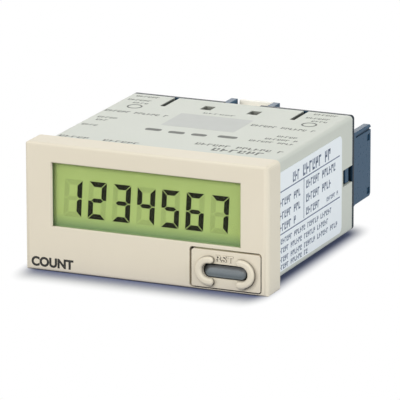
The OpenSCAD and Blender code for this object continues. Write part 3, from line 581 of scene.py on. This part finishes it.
# The reset key: a slate grey ABS moulding with a satin face, behind the cover. Its stem presses a
# rubber pad with a carbon pill on the display board.
slate_abs, tree = finish_named("slate_satin_abs")
spot = add(tree, "ShaderNodeTexCoord").outputs["Object"]
grain = add(tree, "ShaderNodeTexNoise", {"Vector": spot, "Scale": 1 / (0.35 * MM), "Detail": 3.0})
tone = add(
    tree, "ShaderNodeMix",
    {0: grain.outputs["Fac"], 6: linear("626B70"), 7: linear("6F787D")}, data_type="RGBA",
)
# Painted shade: occlusion seen from above darkens the key's face to near black where the cover's rim
# above it and at its ends hides it.
facing = add(tree, "ShaderNodeNewGeometry").outputs["Normal"]
leaning = add(tree, "ShaderNodeVectorMath", {0: facing, 1: (0.0, 0.0, 1.0)}, operation="ADD")
lightward = add(tree, "ShaderNodeVectorMath", {0: leaning.outputs[0]}, operation="NORMALIZE")
sunk = add(
    tree, "ShaderNodeAmbientOcclusion", {"Distance": 1.2 * MM, "Normal": lightward.outputs[0]}, samples=8,
)
open_share = add(
    tree, "ShaderNodeMapRange",
    {"Value": sunk.outputs["AO"], "From Min": 0.54, "From Max": 0.76, "To Min": 0.0, "To Max": 1.0},
)
tone = add(
    tree, "ShaderNodeMix",
    {0: open_share.outputs["Result"], 6: linear("101414"), 7: tone.outputs[2]}, data_type="RGBA",
)
skin = add(
    tree, "ShaderNodeBump",
    {"Height": grain.outputs["Fac"], "Strength": 0.2, "Distance": 0.02 * MM},
)
shader = add(
    tree, "ShaderNodeBsdfPrincipled",
    {"Base Color": tone.outputs[2], "Roughness": 0.42, "IOR": 1.53, "Normal": skin.outputs["Normal"]},
)
add(tree, "ShaderNodeOutputMaterial", {"Surface": shader.outputs["BSDF"]})

# The key's cap leans back towards its top and has a crowned face, in rings of a width and a rise. It
# lies close to the opening's sill and left end, with more room at the right.
cap_lean, cap_fill, cap_room = 0.55 * MM, 0.14 * MM, 0.16 * MM
crown = ((0.25, 0.07), (0.25, 0.045), (0.2, 0.015))
shoulder_clear, small_edge = 0.05 * MM, 0.05 * MM
key = merged("reset_key")
shoulder_y = extent("key_cover")[1].y * MM
cap = [v for v in key.verts if v.co.y < shoulder_y - shoulder_clear]
cap_low, cap_high = (Vector([pick(v.co[i] for v in cap) for i in range(3)]) for pick in (min, max))
front = [max(key.faces, key=lambda face: -face.normal.y * face.calc_area())]
for v in cap:
    out_x, out_z = (2 * (v.co[i] - cap_low[i]) / (cap_high[i] - cap_low[i]) - 1 for i in (0, 2))
    aside = min(out_x, 0) * cap_fill - max(out_x, 0) * cap_room
    v.co += Vector((aside, (out_z - 1) / 2 * cap_lean, min(out_z, 0) * cap_fill))
for width, rise in crown:
    bmesh.ops.inset_region(key, faces=front, thickness=width * MM, depth=rise * MM, use_even_offset=True)
moulded(key, "reset_key", "key_moulding", small_edge, slate_abs, "reset_key")

# Carbon-filled silicone: dull charcoal that takes no highlight.
pad_rubber, tree = finish_named("carbon_silicone_rubber")
spot = add(tree, "ShaderNodeTexCoord").outputs["Object"]
bloom = add(tree, "ShaderNodeTexNoise", {"Vector": spot, "Scale": 1 / (0.8 * MM), "Detail": 3.0})
tone = add(
    tree, "ShaderNodeMix",
    {0: bloom.outputs["Fac"], 6: linear("3A3B3E"), 7: linear("4C4D50")}, data_type="RGBA",
)
shader = add(
    tree, "ShaderNodeBsdfPrincipled",
    {"Base Color": tone.outputs[2], "Roughness": 0.8, "IOR": 1.42},
)
add(tree, "ShaderNodeOutputMaterial", {"Surface": shader.outputs["BSDF"]})
dress("contact_pill", pad_rubber)

# The pad stands on the board in front of the stem.
pad_front, pad_foot = (corner.y * MM for corner in extent("key_pad"))
pad = moulded(merged("key_pad"), "key_pad", "rubber_pad", small_edge, pad_rubber)
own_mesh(pad)


# The two circuit boards: glass laminate under green solder resist, the display board upright behind
# the cell and the main board flat on the case's rails. A pin strip joins them.
board_laminate, tree = finish_named("green_resist_laminate")
spot = add(tree, "ShaderNodeTexCoord").outputs["Object"]
tracks = add(
    tree, "ShaderNodeTexBrick",
    {
        "Vector": spot, "Scale": 1 / (3 * MM), "Color1": linear("1E5A38"), "Color2": linear("22633E"),
        "Mortar": linear("2F7A4C"), "Mortar Size": 0.08,
    },
)
shader = add(
    tree, "ShaderNodeBsdfPrincipled",
    {"Base Color": tracks.outputs["Color"], "Roughness": 0.32, "IOR": 1.55},
)
add(tree, "ShaderNodeOutputMaterial", {"Surface": shader.outputs["BSDF"]})
dress("display_board", board_laminate)
dress("main_board", board_laminate)


# The parts under the main board: chip, resistors and pin strip in black epoxy, a watch crystal in a
# drawn can, and two capacitors in shrunk sleeves. All are soldered.
black_epoxy, tree = finish_named("black_moulded_epoxy")
spot = add(tree, "ShaderNodeTexCoord").outputs["Object"]
filler = add(tree, "ShaderNodeTexNoise", {"Vector": spot, "Scale": 1 / (0.2 * MM), "Detail": 3.0})
tone = add(
    tree, "ShaderNodeMix",
    {0: filler.outputs["Fac"], 6: linear("1C1C1E"), 7: linear("2A2A2C")}, data_type="RGBA",
)
shader = add(
    tree, "ShaderNodeBsdfPrincipled",
    {"Base Color": tone.outputs[2], "Roughness": 0.5, "IOR": 1.55},
)
add(tree, "ShaderNodeOutputMaterial", {"Surface": shader.outputs["BSDF"]})
for part in ("board_link", "counter_chip", "chip_resistors"):
    dress(part, black_epoxy)

# Nickel-plated can: bright, with the faint draw marks of its tool.
nickel_can, tree = finish_named("drawn_nickel_plate")
spot = add(tree, "ShaderNodeTexCoord").outputs["Object"]
streaks = add(tree, "ShaderNodeTexNoise", {"Vector": spot, "Scale": 1 / (0.5 * MM), "Detail": 2.0})
dull = add(
    tree, "ShaderNodeMapRange",
    {"Value": streaks.outputs["Fac"], "From Min": 0.3, "From Max": 0.7, "To Min": 0.22, "To Max": 0.34},
)
shader = add(
    tree, "ShaderNodeBsdfPrincipled",
    {"Base Color": linear("C9C9CC"), "Metallic": 1.0, "Roughness": dull.outputs["Result"]},
)
add(tree, "ShaderNodeOutputMaterial", {"Surface": shader.outputs["BSDF"]})
dress("crystal", nickel_can)

# Shrunk film sleeve: dark blue-grey with a soft gloss.
sleeve_film, tree = finish_named("shrunk_film_sleeve")
spot = add(tree, "ShaderNodeTexCoord").outputs["Object"]
pull = add(tree, "ShaderNodeTexNoise", {"Vector": spot, "Scale": 1 / (1.5 * MM), "Detail": 2.0})
tone = add(
    tree, "ShaderNodeMix",
    {0: pull.outputs["Fac"], 6: linear("2E3A4A"), 7: linear("384656")}, data_type="RGBA",
)
shader = add(
    tree, "ShaderNodeBsdfPrincipled",
    {"Base Color": tone.outputs[2], "Roughness": 0.3, "IOR": 1.54},
)
add(tree, "ShaderNodeOutputMaterial", {"Surface": shader.outputs["BSDF"]})
dress("capacitors", sleeve_film)


# The battery: a coin cell in its drawn steel can, in an ivory drawer with a pull tab that leaves the
# case at the rear. Two plated spring strips touch it from above and below.
cell_steel, tree = finish_named("drawn_stainless_steel")
spot = add(tree, "ShaderNodeTexCoord").outputs["Object"]
brush = add(tree, "ShaderNodeMapping", {"Vector": spot, "Scale": (1.0, 8.0, 1.0)})
lines = add(
    tree, "ShaderNodeTexNoise",
    {"Vector": brush.outputs["Vector"], "Scale": 1 / (1.6 * MM), "Detail": 3.0},
)
dull = add(
    tree, "ShaderNodeMapRange",
    {"Value": lines.outputs["Fac"], "From Min": 0.3, "From Max": 0.7, "To Min": 0.2, "To Max": 0.34},
)
shader = add(
    tree, "ShaderNodeBsdfPrincipled",
    {"Base Color": linear("BFC1C4"), "Metallic": 1.0, "Roughness": dull.outputs["Result"]},
)
add(tree, "ShaderNodeOutputMaterial", {"Surface": shader.outputs["BSDF"]})
dress("battery", cell_steel)

# Nickel-plated phosphor bronze strip: a warm silver.
spring_strip, tree = finish_named("plated_phosphor_bronze")
spot = add(tree, "ShaderNodeTexCoord").outputs["Object"]
roll = add(tree, "ShaderNodeTexNoise", {"Vector": spot, "Scale": 1 / (0.6 * MM), "Detail": 2.0})
dull = add(
    tree, "ShaderNodeMapRange",
    {"Value": roll.outputs["Fac"], "From Min": 0.3, "From Max": 0.7, "To Min": 0.26, "To Max": 0.38},
)
shader = add(
    tree, "ShaderNodeBsdfPrincipled",
    {"Base Color": linear("CFC8B4"), "Metallic": 1.0, "Roughness": dull.outputs["Result"]},
)
add(tree, "ShaderNodeOutputMaterial", {"Surface": shader.outputs["BSDF"]})
dress("battery_strip_top", spring_strip)
dress("battery_strip_bottom", spring_strip)

# Ivory ABS of the drawer: warm and slightly waxy, with painted shade that darkens it where the case shuts
# it in.
ivory_abs, tree = finish_named("ivory_moulded_abs")
spot = add(tree, "ShaderNodeTexCoord").outputs["Object"]
grain = add(tree, "ShaderNodeTexNoise", {"Vector": spot, "Scale": 1 / (0.4 * MM), "Detail": 3.0})
tone = add(
    tree, "ShaderNodeMix",
    {0: grain.outputs["Fac"], 6: linear("F5F0E3"), 7: linear("F9F5EA")}, data_type="RGBA",
)
shut_in = add(tree, "ShaderNodeAmbientOcclusion", {"Distance": 4 * MM}, samples=8)
open_share = add(
    tree, "ShaderNodeMapRange",
    {"Value": shut_in.outputs["AO"], "From Min": 0.12, "From Max": 0.45, "To Min": 0.0, "To Max": 1.0},
)
tone = add(
    tree, "ShaderNodeMix",
    {0: open_share.outputs["Result"], 6: linear("2E2A22"), 7: tone.outputs[2]}, data_type="RGBA",
)
shader = add(
    tree, "ShaderNodeBsdfPrincipled",
    {"Base Color": tone.outputs[2], "Roughness": 0.42, "IOR": 1.53},
)
add(tree, "ShaderNodeOutputMaterial", {"Surface": shader.outputs["BSDF"]})
broken_edge = 0.12 * MM
drawer = merged("battery_carrier")
moulded(drawer, "battery_carrier", "battery_drawer", broken_edge, ivory_abs)


# The case: a pale grey ABS tube, moulded in one, with the latch flap's slots in its top. Its skin is
# smoother than the bezel's, and painted shade darkens the slots and other hollows, as the inside takes in
# hardly any light.
grey_abs, tree = finish_named("pale_grey_moulded_abs")
spot = add(tree, "ShaderNodeTexCoord").outputs["Object"]
flow = add(tree, "ShaderNodeTexNoise", {"Vector": spot, "Scale": 1 / (18 * MM), "Detail": 2.0})
grain = add(tree, "ShaderNodeTexNoise", {"Vector": spot, "Scale": 1 / (0.35 * MM), "Detail": 3.0})
tone = add(
    tree, "ShaderNodeMix",
    {0: flow.outputs["Fac"], 6: linear("CED0C5"), 7: linear("D4D6CB")}, data_type="RGBA",
)
seam = add(tree, "ShaderNodeAmbientOcclusion", {"Distance": 3 * MM}, samples=8, only_local=True)
open_share = add(
    tree, "ShaderNodeMapRange",
    {"Value": seam.outputs["AO"], "From Min": 0.5, "From Max": 0.9, "To Min": 0.0, "To Max": 1.0},
)
tone = add(
    tree, "ShaderNodeMix",
    {0: open_share.outputs["Result"], 6: linear("26241E"), 7: tone.outputs[2]}, data_type="RGBA",
)
dull = add(
    tree, "ShaderNodeMapRange",
    {"Value": grain.outputs["Fac"], "From Min": 0.3, "From Max": 0.7, "To Min": 0.42, "To Max": 0.54},
)
skin = add(
    tree, "ShaderNodeBump",
    {"Height": grain.outputs["Fac"], "Strength": 0.08, "Distance": 0.02 * MM},
)
shader = add(
    tree, "ShaderNodeBsdfPrincipled",
    {
        "Base Color": tone.outputs[2], "Roughness": dull.outputs["Result"],
        "Normal": skin.outputs["Normal"], "IOR": 1.53, "Specular IOR Level": 0.2,
    },
)
add(tree, "ShaderNodeOutputMaterial", {"Surface": shader.outputs["BSDF"]})
moulded(merged("case_shell"), "case_shell", "case_tube", broken_edge, grey_abs)


# The printing on the case's top: a grey field, lines of small marks and two plain diagrams, pad
# printed in grey ink. The marks have the look of print and spell nothing.
def marks(left, right, middle, height, pitch):
    """A printed line as boxes in millimetres: small strokes in groups, with spaces as between words."""
    low, high = middle - height / 2, middle + height / 2
    stroke, end = 0.26 * pitch, 0.74 * pitch
    boxes = []
    for i in range(int((right - left) / pitch)):
        if i % 7 < 6:
            u = left + i * pitch
            cross = low + (0.02, 0.4, 0.78)[i % 3] * height
            boxes.append((u, u + stroke, low, high))
            boxes.append((u + stroke / 2, u + end, cross, cross + 0.2 * height))
            if i % 4 in (0, 3):
                boxes.append((u + 0.98 * end - stroke, u + 0.98 * end, middle, high))
    return boxes


def ring(bm, u, v, radius, width):
    """Adds a flat ring to a bmesh, in millimetres."""
    disc = bmesh.ops.create_circle(
        bm, cap_ends=True, segments=24, radius=radius * MM,
        matrix=Matrix.Translation(Vector((u, v, 0)) * MM),
    )
    face = disc["verts"][0].link_faces[0]
    bmesh.ops.inset_region(
        bm, faces=[face], thickness=width * MM, use_boundary=True, use_even_offset=True,
    )
    bmesh.ops.delete(bm, geom=[face], context="FACES")


# Grey pad-printing ink: thin and matt, patchy where the pad pressed less.
case_ink, tree = finish_named("grey_pad_printing_ink")
spot = add(tree, "ShaderNodeTexCoord").outputs["Object"]
press = add(tree, "ShaderNodeTexNoise", {"Vector": spot, "Scale": 1 / (0.6 * MM), "Detail": 2.0})
tone = add(
    tree, "ShaderNodeMix",
    {0: press.outputs["Fac"], 6: linear("54564F"), 7: linear("74766E")}, data_type="RGBA",
)
shader = add(
    tree, "ShaderNodeBsdfPrincipled",
    {"Base Color": tone.outputs[2], "Roughness": 0.6, "IOR": 1.5},
)
add(tree, "ShaderNodeOutputMaterial", {"Surface": shader.outputs["BSDF"]})

# Each line has a left end, a right end, a middle, a height and a pitch, in millimetres.
ink_t = 0.015
case_high = extent("case_shell")[1]
case_top = Matrix.Translation(Vector((0, 0, case_high.z)) * MM)
top_lines = [
    (-21.6, -8.2, 24.7, 1.2, 0.85), (7.8, 21.1, 24.9, 1.2, 0.85), (-20.8, -16.6, 19.6, 1.0, 0.8),
    (-20.2, -17.0, 17.6, 1.0, 0.8), (-21.2, -17.6, 13.5, 1.0, 0.8), (15.4, 20.1, 19.1, 1.0, 0.8),
    (14.0, 21.0, 16.8, 1.0, 0.8), (11.8, 21.2, 14.5, 1.0, 0.8), (-21.4, -15.2, 4.2, 1.1, 1.2),
    (-12.6, -4.5, 4.2, 1.1, 1.2), (3.8, 21.3, 8.6, 1.3, 1.15), (8.2, 21.6, 6.0, 1.9, 1.7),
    (-3.9, 4.4, 29.7, 0.6, 1.1),
]
for diagram_x in (-18.3, 17.8):
    top_lines += [
        (diagram_x - 2.4, diagram_x + 2.6, 36.8, 0.9, 0.8),
        (diagram_x - 2.8, diagram_x + 2.2, 33.9, 0.9, 0.8),
        (diagram_x - 0.9, diagram_x + 2.6, 31.9, 0.8, 0.8),
    ]
case_print = flat_boxes([box for line in top_lines for box in marks(*line)])
ring_y, ring_r, ring_w = 29.2, 1.5, 0.35
for ring_x in (-17.7, 17.5):
    ring(case_print, ring_x, ring_y, ring_r, ring_w)
thicken(case_print, (0, 0, ink_t * MM))
bmesh.ops.transform(case_print, verts=case_print.verts, matrix=case_top)
place(case_print, "case_print", case_ink)

bar_sides = [
    (-9.0, -5.8, 14.0, 15.5), (-4.2, -1.0, 13.6, 15.1), (0.4, 3.4, 13.6, 15.1), (5.4, 9.2, 14.2, 15.7),
]
plain_bars = flat_boxes(bar_sides, corner=0.6)
thicken(plain_bars, (0, 0, ink_t * MM))
bmesh.ops.transform(plain_bars, verts=plain_bars.verts, matrix=case_top)
place(plain_bars, "case_print_bars", case_ink)

# Matt grey film of the field behind the latch flap: a shade darker than the case.
field_film, tree = finish_named("matt_grey_field")
spot = add(tree, "ShaderNodeTexCoord").outputs["Object"]
coat = add(tree, "ShaderNodeTexNoise", {"Vector": spot, "Scale": 1 / (2 * MM), "Detail": 2.0})
tone = add(
    tree, "ShaderNodeMix",
    {0: coat.outputs["Fac"], 6: linear("C3C4BE"), 7: linear("CACBC5")}, data_type="RGBA",
)
shader = add(
    tree, "ShaderNodeBsdfPrincipled",
    {"Base Color": tone.outputs[2], "Roughness": 0.6, "IOR": 1.5},
)
add(tree, "ShaderNodeOutputMaterial", {"Surface": shader.outputs["BSDF"]})
field_sides = (-7.6, 6.95, 18.5, 28.0)
field = flat_boxes([field_sides], corner=0.3)
thicken(field, (0, 0, ink_t * MM))
bmesh.ops.transform(field, verts=field.verts, matrix=case_top)
place(field, "case_field", field_film)


# The terminal block: blue-grey glass-filled PBT, latched into the rear of the case. Four pan head
# screws with square captive washers clamp the wires on plated plates.
block_pbt, tree = finish_named("blue_grey_moulded_pbt")
spot = add(tree, "ShaderNodeTexCoord").outputs["Object"]
fibre = add(tree, "ShaderNodeTexNoise", {"Vector": spot, "Scale": 1 / (0.5 * MM), "Detail": 4.0})
tone = add(
    tree, "ShaderNodeMix",
    {0: fibre.outputs["Fac"], 6: linear("304E66"), 7: linear("3A5972")}, data_type="RGBA",
)
# Painted shade: occlusion within 2 mm darkens the block's hollows and notches to a dark navy.
seam = add(tree, "ShaderNodeAmbientOcclusion", {"Distance": 2 * MM}, samples=8)
open_share = add(
    tree, "ShaderNodeMapRange",
    {"Value": seam.outputs["AO"], "From Min": 0.3, "From Max": 0.8, "To Min": 0.0, "To Max": 1.0},
)
# Painted shade: a dark band on the edge of the flange, where it stands in the case's shade.
apart = add(tree, "ShaderNodeSeparateXYZ", {"Vector": spot})
flange_y, flange_half = case_high.y + 0.45, 0.4
on_flange = add(
    tree, "ShaderNodeMath", {0: apart.outputs["Y"], 1: flange_y * MM, 2: flange_half * MM},
    operation="COMPARE",
)
off_flange = add(
    tree, "ShaderNodeMapRange",
    {"Value": on_flange.outputs[0], "From Min": 0.0, "From Max": 1.0, "To Min": 1.0, "To Max": 0.12},
)
unshaded_share = add(
    tree, "ShaderNodeMath", {0: open_share.outputs["Result"], 1: off_flange.outputs["Result"]},
    operation="MULTIPLY",
)
tone = add(
    tree, "ShaderNodeMix",
    {0: unshaded_share.outputs[0], 6: linear("0A1119"), 7: tone.outputs[2]}, data_type="RGBA",
)
dull = add(
    tree, "ShaderNodeMapRange",
    {"Value": fibre.outputs["Fac"], "From Min": 0.3, "From Max": 0.7, "To Min": 0.26, "To Max": 0.34},
)
shader = add(
    tree, "ShaderNodeBsdfPrincipled",
    {
        "Base Color": tone.outputs[2], "Roughness": dull.outputs["Result"], "IOR": 1.57,
        "Specular IOR Level": 0.05,
    },
)
add(tree, "ShaderNodeOutputMaterial", {"Surface": shader.outputs["BSDF"]})
block = merged("terminal_block")
moulded(block, "terminal_block", "terminal_housing", broken_edge, block_pbt)

# The terminals' numbers are raised on the floor of the bays and read from the rear.
number_z, terminal_pitch = -5.9, 10.7
number_h, number_t, number_edge, number_sunk = 1.3, 0.2, 0.04, 0.02
number_y = extent("terminal_plates")[0].y - number_sunk
to_rear = Matrix.Rotation(math.pi, 4, "Z")
for i, number_w in enumerate((0.25, 0.8, 0.8, 0.8)):
    number = lettering(
        str(i + 1), number_w * MM, number_h * MM, number_t * MM, edge=number_edge * MM,
    )
    number_x = (1.5 - i) * terminal_pitch + number_w / 2
    seat = Matrix.Translation(Vector((number_x, number_y, number_z)) * MM)
    bmesh.ops.transform(number, verts=number.verts, matrix=seat @ to_rear @ upright)
    place(number, "terminal_number_" + str(i + 1), block_pbt)

# Tin-plated brass plates: pale, softly bright.
plated_brass, tree = finish_named("tin_plated_brass")
spot = add(tree, "ShaderNodeTexCoord").outputs["Object"]
press = add(tree, "ShaderNodeTexNoise", {"Vector": spot, "Scale": 1 / (0.7 * MM), "Detail": 3.0})
dull = add(
    tree, "ShaderNodeMapRange",
    {"Value": press.outputs["Fac"], "From Min": 0.3, "From Max": 0.7, "To Min": 0.3, "To Max": 0.45},
)
shader = add(
    tree, "ShaderNodeBsdfPrincipled",
    {"Base Color": linear("CFC9B8"), "Metallic": 1.0, "Roughness": dull.outputs["Result"]},
)
add(tree, "ShaderNodeOutputMaterial", {"Surface": shader.outputs["BSDF"]})
dress("terminal_plates", plated_brass)

# Bright zinc-plated steel of the screws and washers: bluish silver with tool marks.
zinc_steel, tree = finish_named("bright_zinc_plated_steel")
spot = add(tree, "ShaderNodeTexCoord").outputs["Object"]
scuff = add(tree, "ShaderNodeTexNoise", {"Vector": spot, "Scale": 1 / (0.4 * MM), "Detail": 3.0})
dull = add(
    tree, "ShaderNodeMapRange",
    {"Value": scuff.outputs["Fac"], "From Min": 0.3, "From Max": 0.7, "To Min": 0.2, "To Max": 0.36},
)
shader = add(
    tree, "ShaderNodeBsdfPrincipled",
    {"Base Color": linear("CDD0D3"), "Metallic": 1.0, "Roughness": dull.outputs["Result"]},
)
add(tree, "ShaderNodeOutputMaterial", {"Surface": shader.outputs["BSDF"]})
dress("terminal_washers", zinc_steel)
dress("terminal_screws", zinc_steel)


# The side label: white polyester film with a satin face, stuck flat on the case's right side. Its
# print is two rules across, one upright, and lines of small marks.
label_film, tree = finish_named("white_polyester_label")
spot = add(tree, "ShaderNodeTexCoord").outputs["Object"]
coat = add(tree, "ShaderNodeTexNoise", {"Vector": spot, "Scale": 1 / (4 * MM), "Detail": 2.0})
tone = add(
    tree, "ShaderNodeMix",
    {0: coat.outputs["Fac"], 6: linear("EEF3F6"), 7: linear("F3F7F9")}, data_type="RGBA",
)
shader = add(
    tree, "ShaderNodeBsdfPrincipled",
    {"Base Color": tone.outputs[2], "Roughness": 0.4, "IOR": 1.6},
)
add(tree, "ShaderNodeOutputMaterial", {"Surface": shader.outputs["BSDF"]})
dress("side_label", label_film)

# Slate blue label ink: flexo printed, thin and even.
label_ink, tree = finish_named("slate_label_ink")
spot = add(tree, "ShaderNodeTexCoord").outputs["Object"]
press = add(tree, "ShaderNodeTexNoise", {"Vector": spot, "Scale": 1 / (0.5 * MM), "Detail": 2.0})
tone = add(
    tree, "ShaderNodeMix",
    {0: press.outputs["Fac"], 6: linear("4A5A74"), 7: linear("62718B")}, data_type="RGBA",
)
shader = add(
    tree, "ShaderNodeBsdfPrincipled",
    {"Base Color": tone.outputs[2], "Roughness": 0.5, "IOR": 1.5},
)
add(tree, "ShaderNodeOutputMaterial", {"Surface": shader.outputs["BSDF"]})

rule = 0.22
label_rules = [
    (3.5, 31.9, 5.1 - rule, 5.1), (3.5, 32.0, -2.8 - rule, -2.8), (14.75 - rule, 14.75, -2.6, 4.9),
]
label_lines = [
    (9.4, 12.9, 6.4, 1.9, 1.1), (14.2, 28.7, 6.5, 2.1, 1.5),
    (15.7, 31.6, 3.5, 1.5, 1.1), (15.7, 28.8, 0.9, 1.5, 1.1), (15.7, 22.4, -1.55, 1.4, 1.1),
    (25.6, 31.8, -1.8, 0.8, 0.7),
    (2.2, 13.9, 2.9, 1.4, 1.1), (2.2, 13.6, 0.5, 1.4, 1.1), (2.2, 11.2, -1.7, 1.4, 1.1),
    (3.8, 29.7, -4.3, 1.0, 0.9), (2.2, 28.1, -6.0, 1.0, 0.9), (2.2, 31.8, -7.7, 1.0, 0.9),
    (2.2, 16.9, -9.1, 0.9, 0.9),
]
label_print = flat_boxes(label_rules + [box for line in label_lines for box in marks(*line)])
thicken(label_print, (0, 0, ink_t * MM))
label_x = extent("side_label")[1].x * MM
label_face = Matrix(((0, 0, 1, label_x), (1, 0, 0, 0), (0, 1, 0, 0), (0, 0, 0, 1)))
bmesh.ops.transform(label_print, verts=label_print.verts, matrix=label_face)
place(label_print, "label_print", label_ink)


# The studio: a pale floor that keeps the shadow close to the counter, with painted shadow added there,
# and runs out to white, a bluish sky all round, and four soft lamps: a large one in front, one overhead,
# a low one behind and a weaker one at the right.
def seen_share(tree):
    """1 for what the camera, a gloss or a clear piece sees, and 0 for the light on the counter."""
    seen = add(tree, "ShaderNodeLightPath")
    first = add(
        tree, "ShaderNodeMath",
        {0: seen.outputs["Is Camera Ray"], 1: seen.outputs["Is Glossy Ray"]}, operation="ADD",
    )
    either = add(
        tree, "ShaderNodeMath", {0: first.outputs[0], 1: seen.outputs["Is Transmission Ray"]},
        operation="ADD", use_clamp=True,
    )
    return either.outputs[0]


floor_reach = 4.0
bm = bmesh.new()
bmesh.ops.create_grid(bm, x_segments=1, y_segments=1, size=floor_reach)
bmesh.ops.translate(bm, verts=bm.verts, vec=(0, 0, cad_box[0].z))
data = bpy.data.meshes.new("floor")
bm.to_mesh(data)
bm.free()
floor = bpy.data.objects.new("floor", data)
bpy.context.scene.collection.objects.link(floor)
floor_paper, tree = finish_named("pale_studio_paper")
spot = add(tree, "ShaderNodeTexCoord").outputs["Object"]
left_inset, right_inset, any_height = 3.0, 1.8, 10.0
shadow_near, shadow_far, side_falloff = 1.2 * MM, 8.7 * MM, 1.8
foot_low = Vector((cad_box[0].x + left_inset * MM, front_y * MM, 0))
foot_high = Vector((case_high.x - right_inset, case_high.y, 0)) * MM
foot_middle, foot_half = (foot_low + foot_high) / 2, (foot_high - foot_low) / 2
offset = add(
    tree, "ShaderNodeVectorMath", {0: spot, 1: (foot_middle.x, foot_middle.y, 0.0)},
    operation="SUBTRACT",
)
both = add(tree, "ShaderNodeVectorMath", {0: offset.outputs[0]}, operation="ABSOLUTE")
beyond = add(
    tree, "ShaderNodeVectorMath",
    {0: both.outputs[0], 1: (foot_half.x, foot_half.y, any_height)}, operation="SUBTRACT",
)
outside = add(
    tree, "ShaderNodeVectorMath", {0: beyond.outputs[0], 1: (0.0, 0.0, 0.0)}, operation="MAXIMUM",
)
even = add(
    tree, "ShaderNodeVectorMath", {0: outside.outputs[0], 1: (side_falloff, 1.0, 1.0)},
    operation="MULTIPLY",
)
reach = add(tree, "ShaderNodeVectorMath", {0: even.outputs[0]}, operation="LENGTH")
away = add(
    tree, "ShaderNodeMapRange",
    {
        "Value": reach.outputs["Value"], "From Min": shadow_near, "From Max": shadow_far,
        "To Min": 0.0, "To Max": 1.0,
    },
    interpolation_type="SMOOTHSTEP",
)
share = add(
    tree, "ShaderNodeMath", {0: seen_share(tree), 1: away.outputs["Result"]}, operation="MULTIPLY",
)
# Painted shadow: occlusion by the counter darkens the paper to a bluish grey close to it.
contact = add(tree, "ShaderNodeAmbientOcclusion", {"Distance": 8 * MM}, samples=16)
lit = add(
    tree, "ShaderNodeMapRange",
    {"Value": contact.outputs["AO"], "From Min": 0.5, "From Max": 0.95, "To Min": 0.0, "To Max": 1.0},
)
tone = add(
    tree, "ShaderNodeMix",
    {0: lit.outputs["Result"], 6: linear("757C9A"), 7: linear("CACACA")}, data_type="RGBA",
)
paper = add(tree, "ShaderNodeBsdfDiffuse", {"Color": tone.outputs[2], "Roughness": 0.0})
white = add(tree, "ShaderNodeEmission", {"Color": linear("FFFFFF"), "Strength": 1.0})
mixed = add(
    tree, "ShaderNodeMixShader", {0: share.outputs[0], 1: paper.outputs[0], 2: white.outputs[0]},
)
add(tree, "ShaderNodeOutputMaterial", {"Surface": mixed.outputs[0]})
floor.data.materials.append(floor_paper)

world = bpy.data.worlds.new("studio")
bpy.context.scene.world = world
world.use_nodes = True
tree = world.node_tree
tree.nodes.clear()
sky = add(tree, "ShaderNodeBackground", {"Color": (0.92, 0.96, 1.0, 1.0), "Strength": 0.5})
white = add(tree, "ShaderNodeBackground", {"Color": (1.0, 1.0, 1.0, 1.0), "Strength": 1.0})
mixed = add(
    tree, "ShaderNodeMixShader", {0: seen_share(tree), 1: sky.outputs[0], 2: white.outputs[0]},
)
add(tree, "ShaderNodeOutputWorld", {"Surface": mixed.outputs[0]})

warm, cool = (1.0, 0.98, 0.95), (0.93, 0.98, 1.0)
for name, stand_at, size, power, colour in (
    ("soft_box", Vector((-0.11, -0.73, 0.42)), 0.35, 3.25, warm),
    ("overhead", Vector((-0.1, 0.2, 0.9)), 0.5, 0.85, warm),
    ("back_lamp", Vector((-0.343, 0.766, 0.231)), 0.24, 0.38, warm),
    ("side_fill", Vector((0.76, -0.12, 0.36)), 0.3, 2.45, cool),
):
    lamp = bpy.data.lights.new(name, "AREA")
    lamp.shape = "SQUARE"
    lamp.size = size
    lamp.energy = power
    lamp.color = colour
    stand = bpy.data.objects.new(name, lamp)
    stand.location = stand_at
    stand.rotation_euler = (-stand_at).to_track_quat("-Z", "Y").to_euler()
    bpy.context.scene.collection.objects.link(stand)
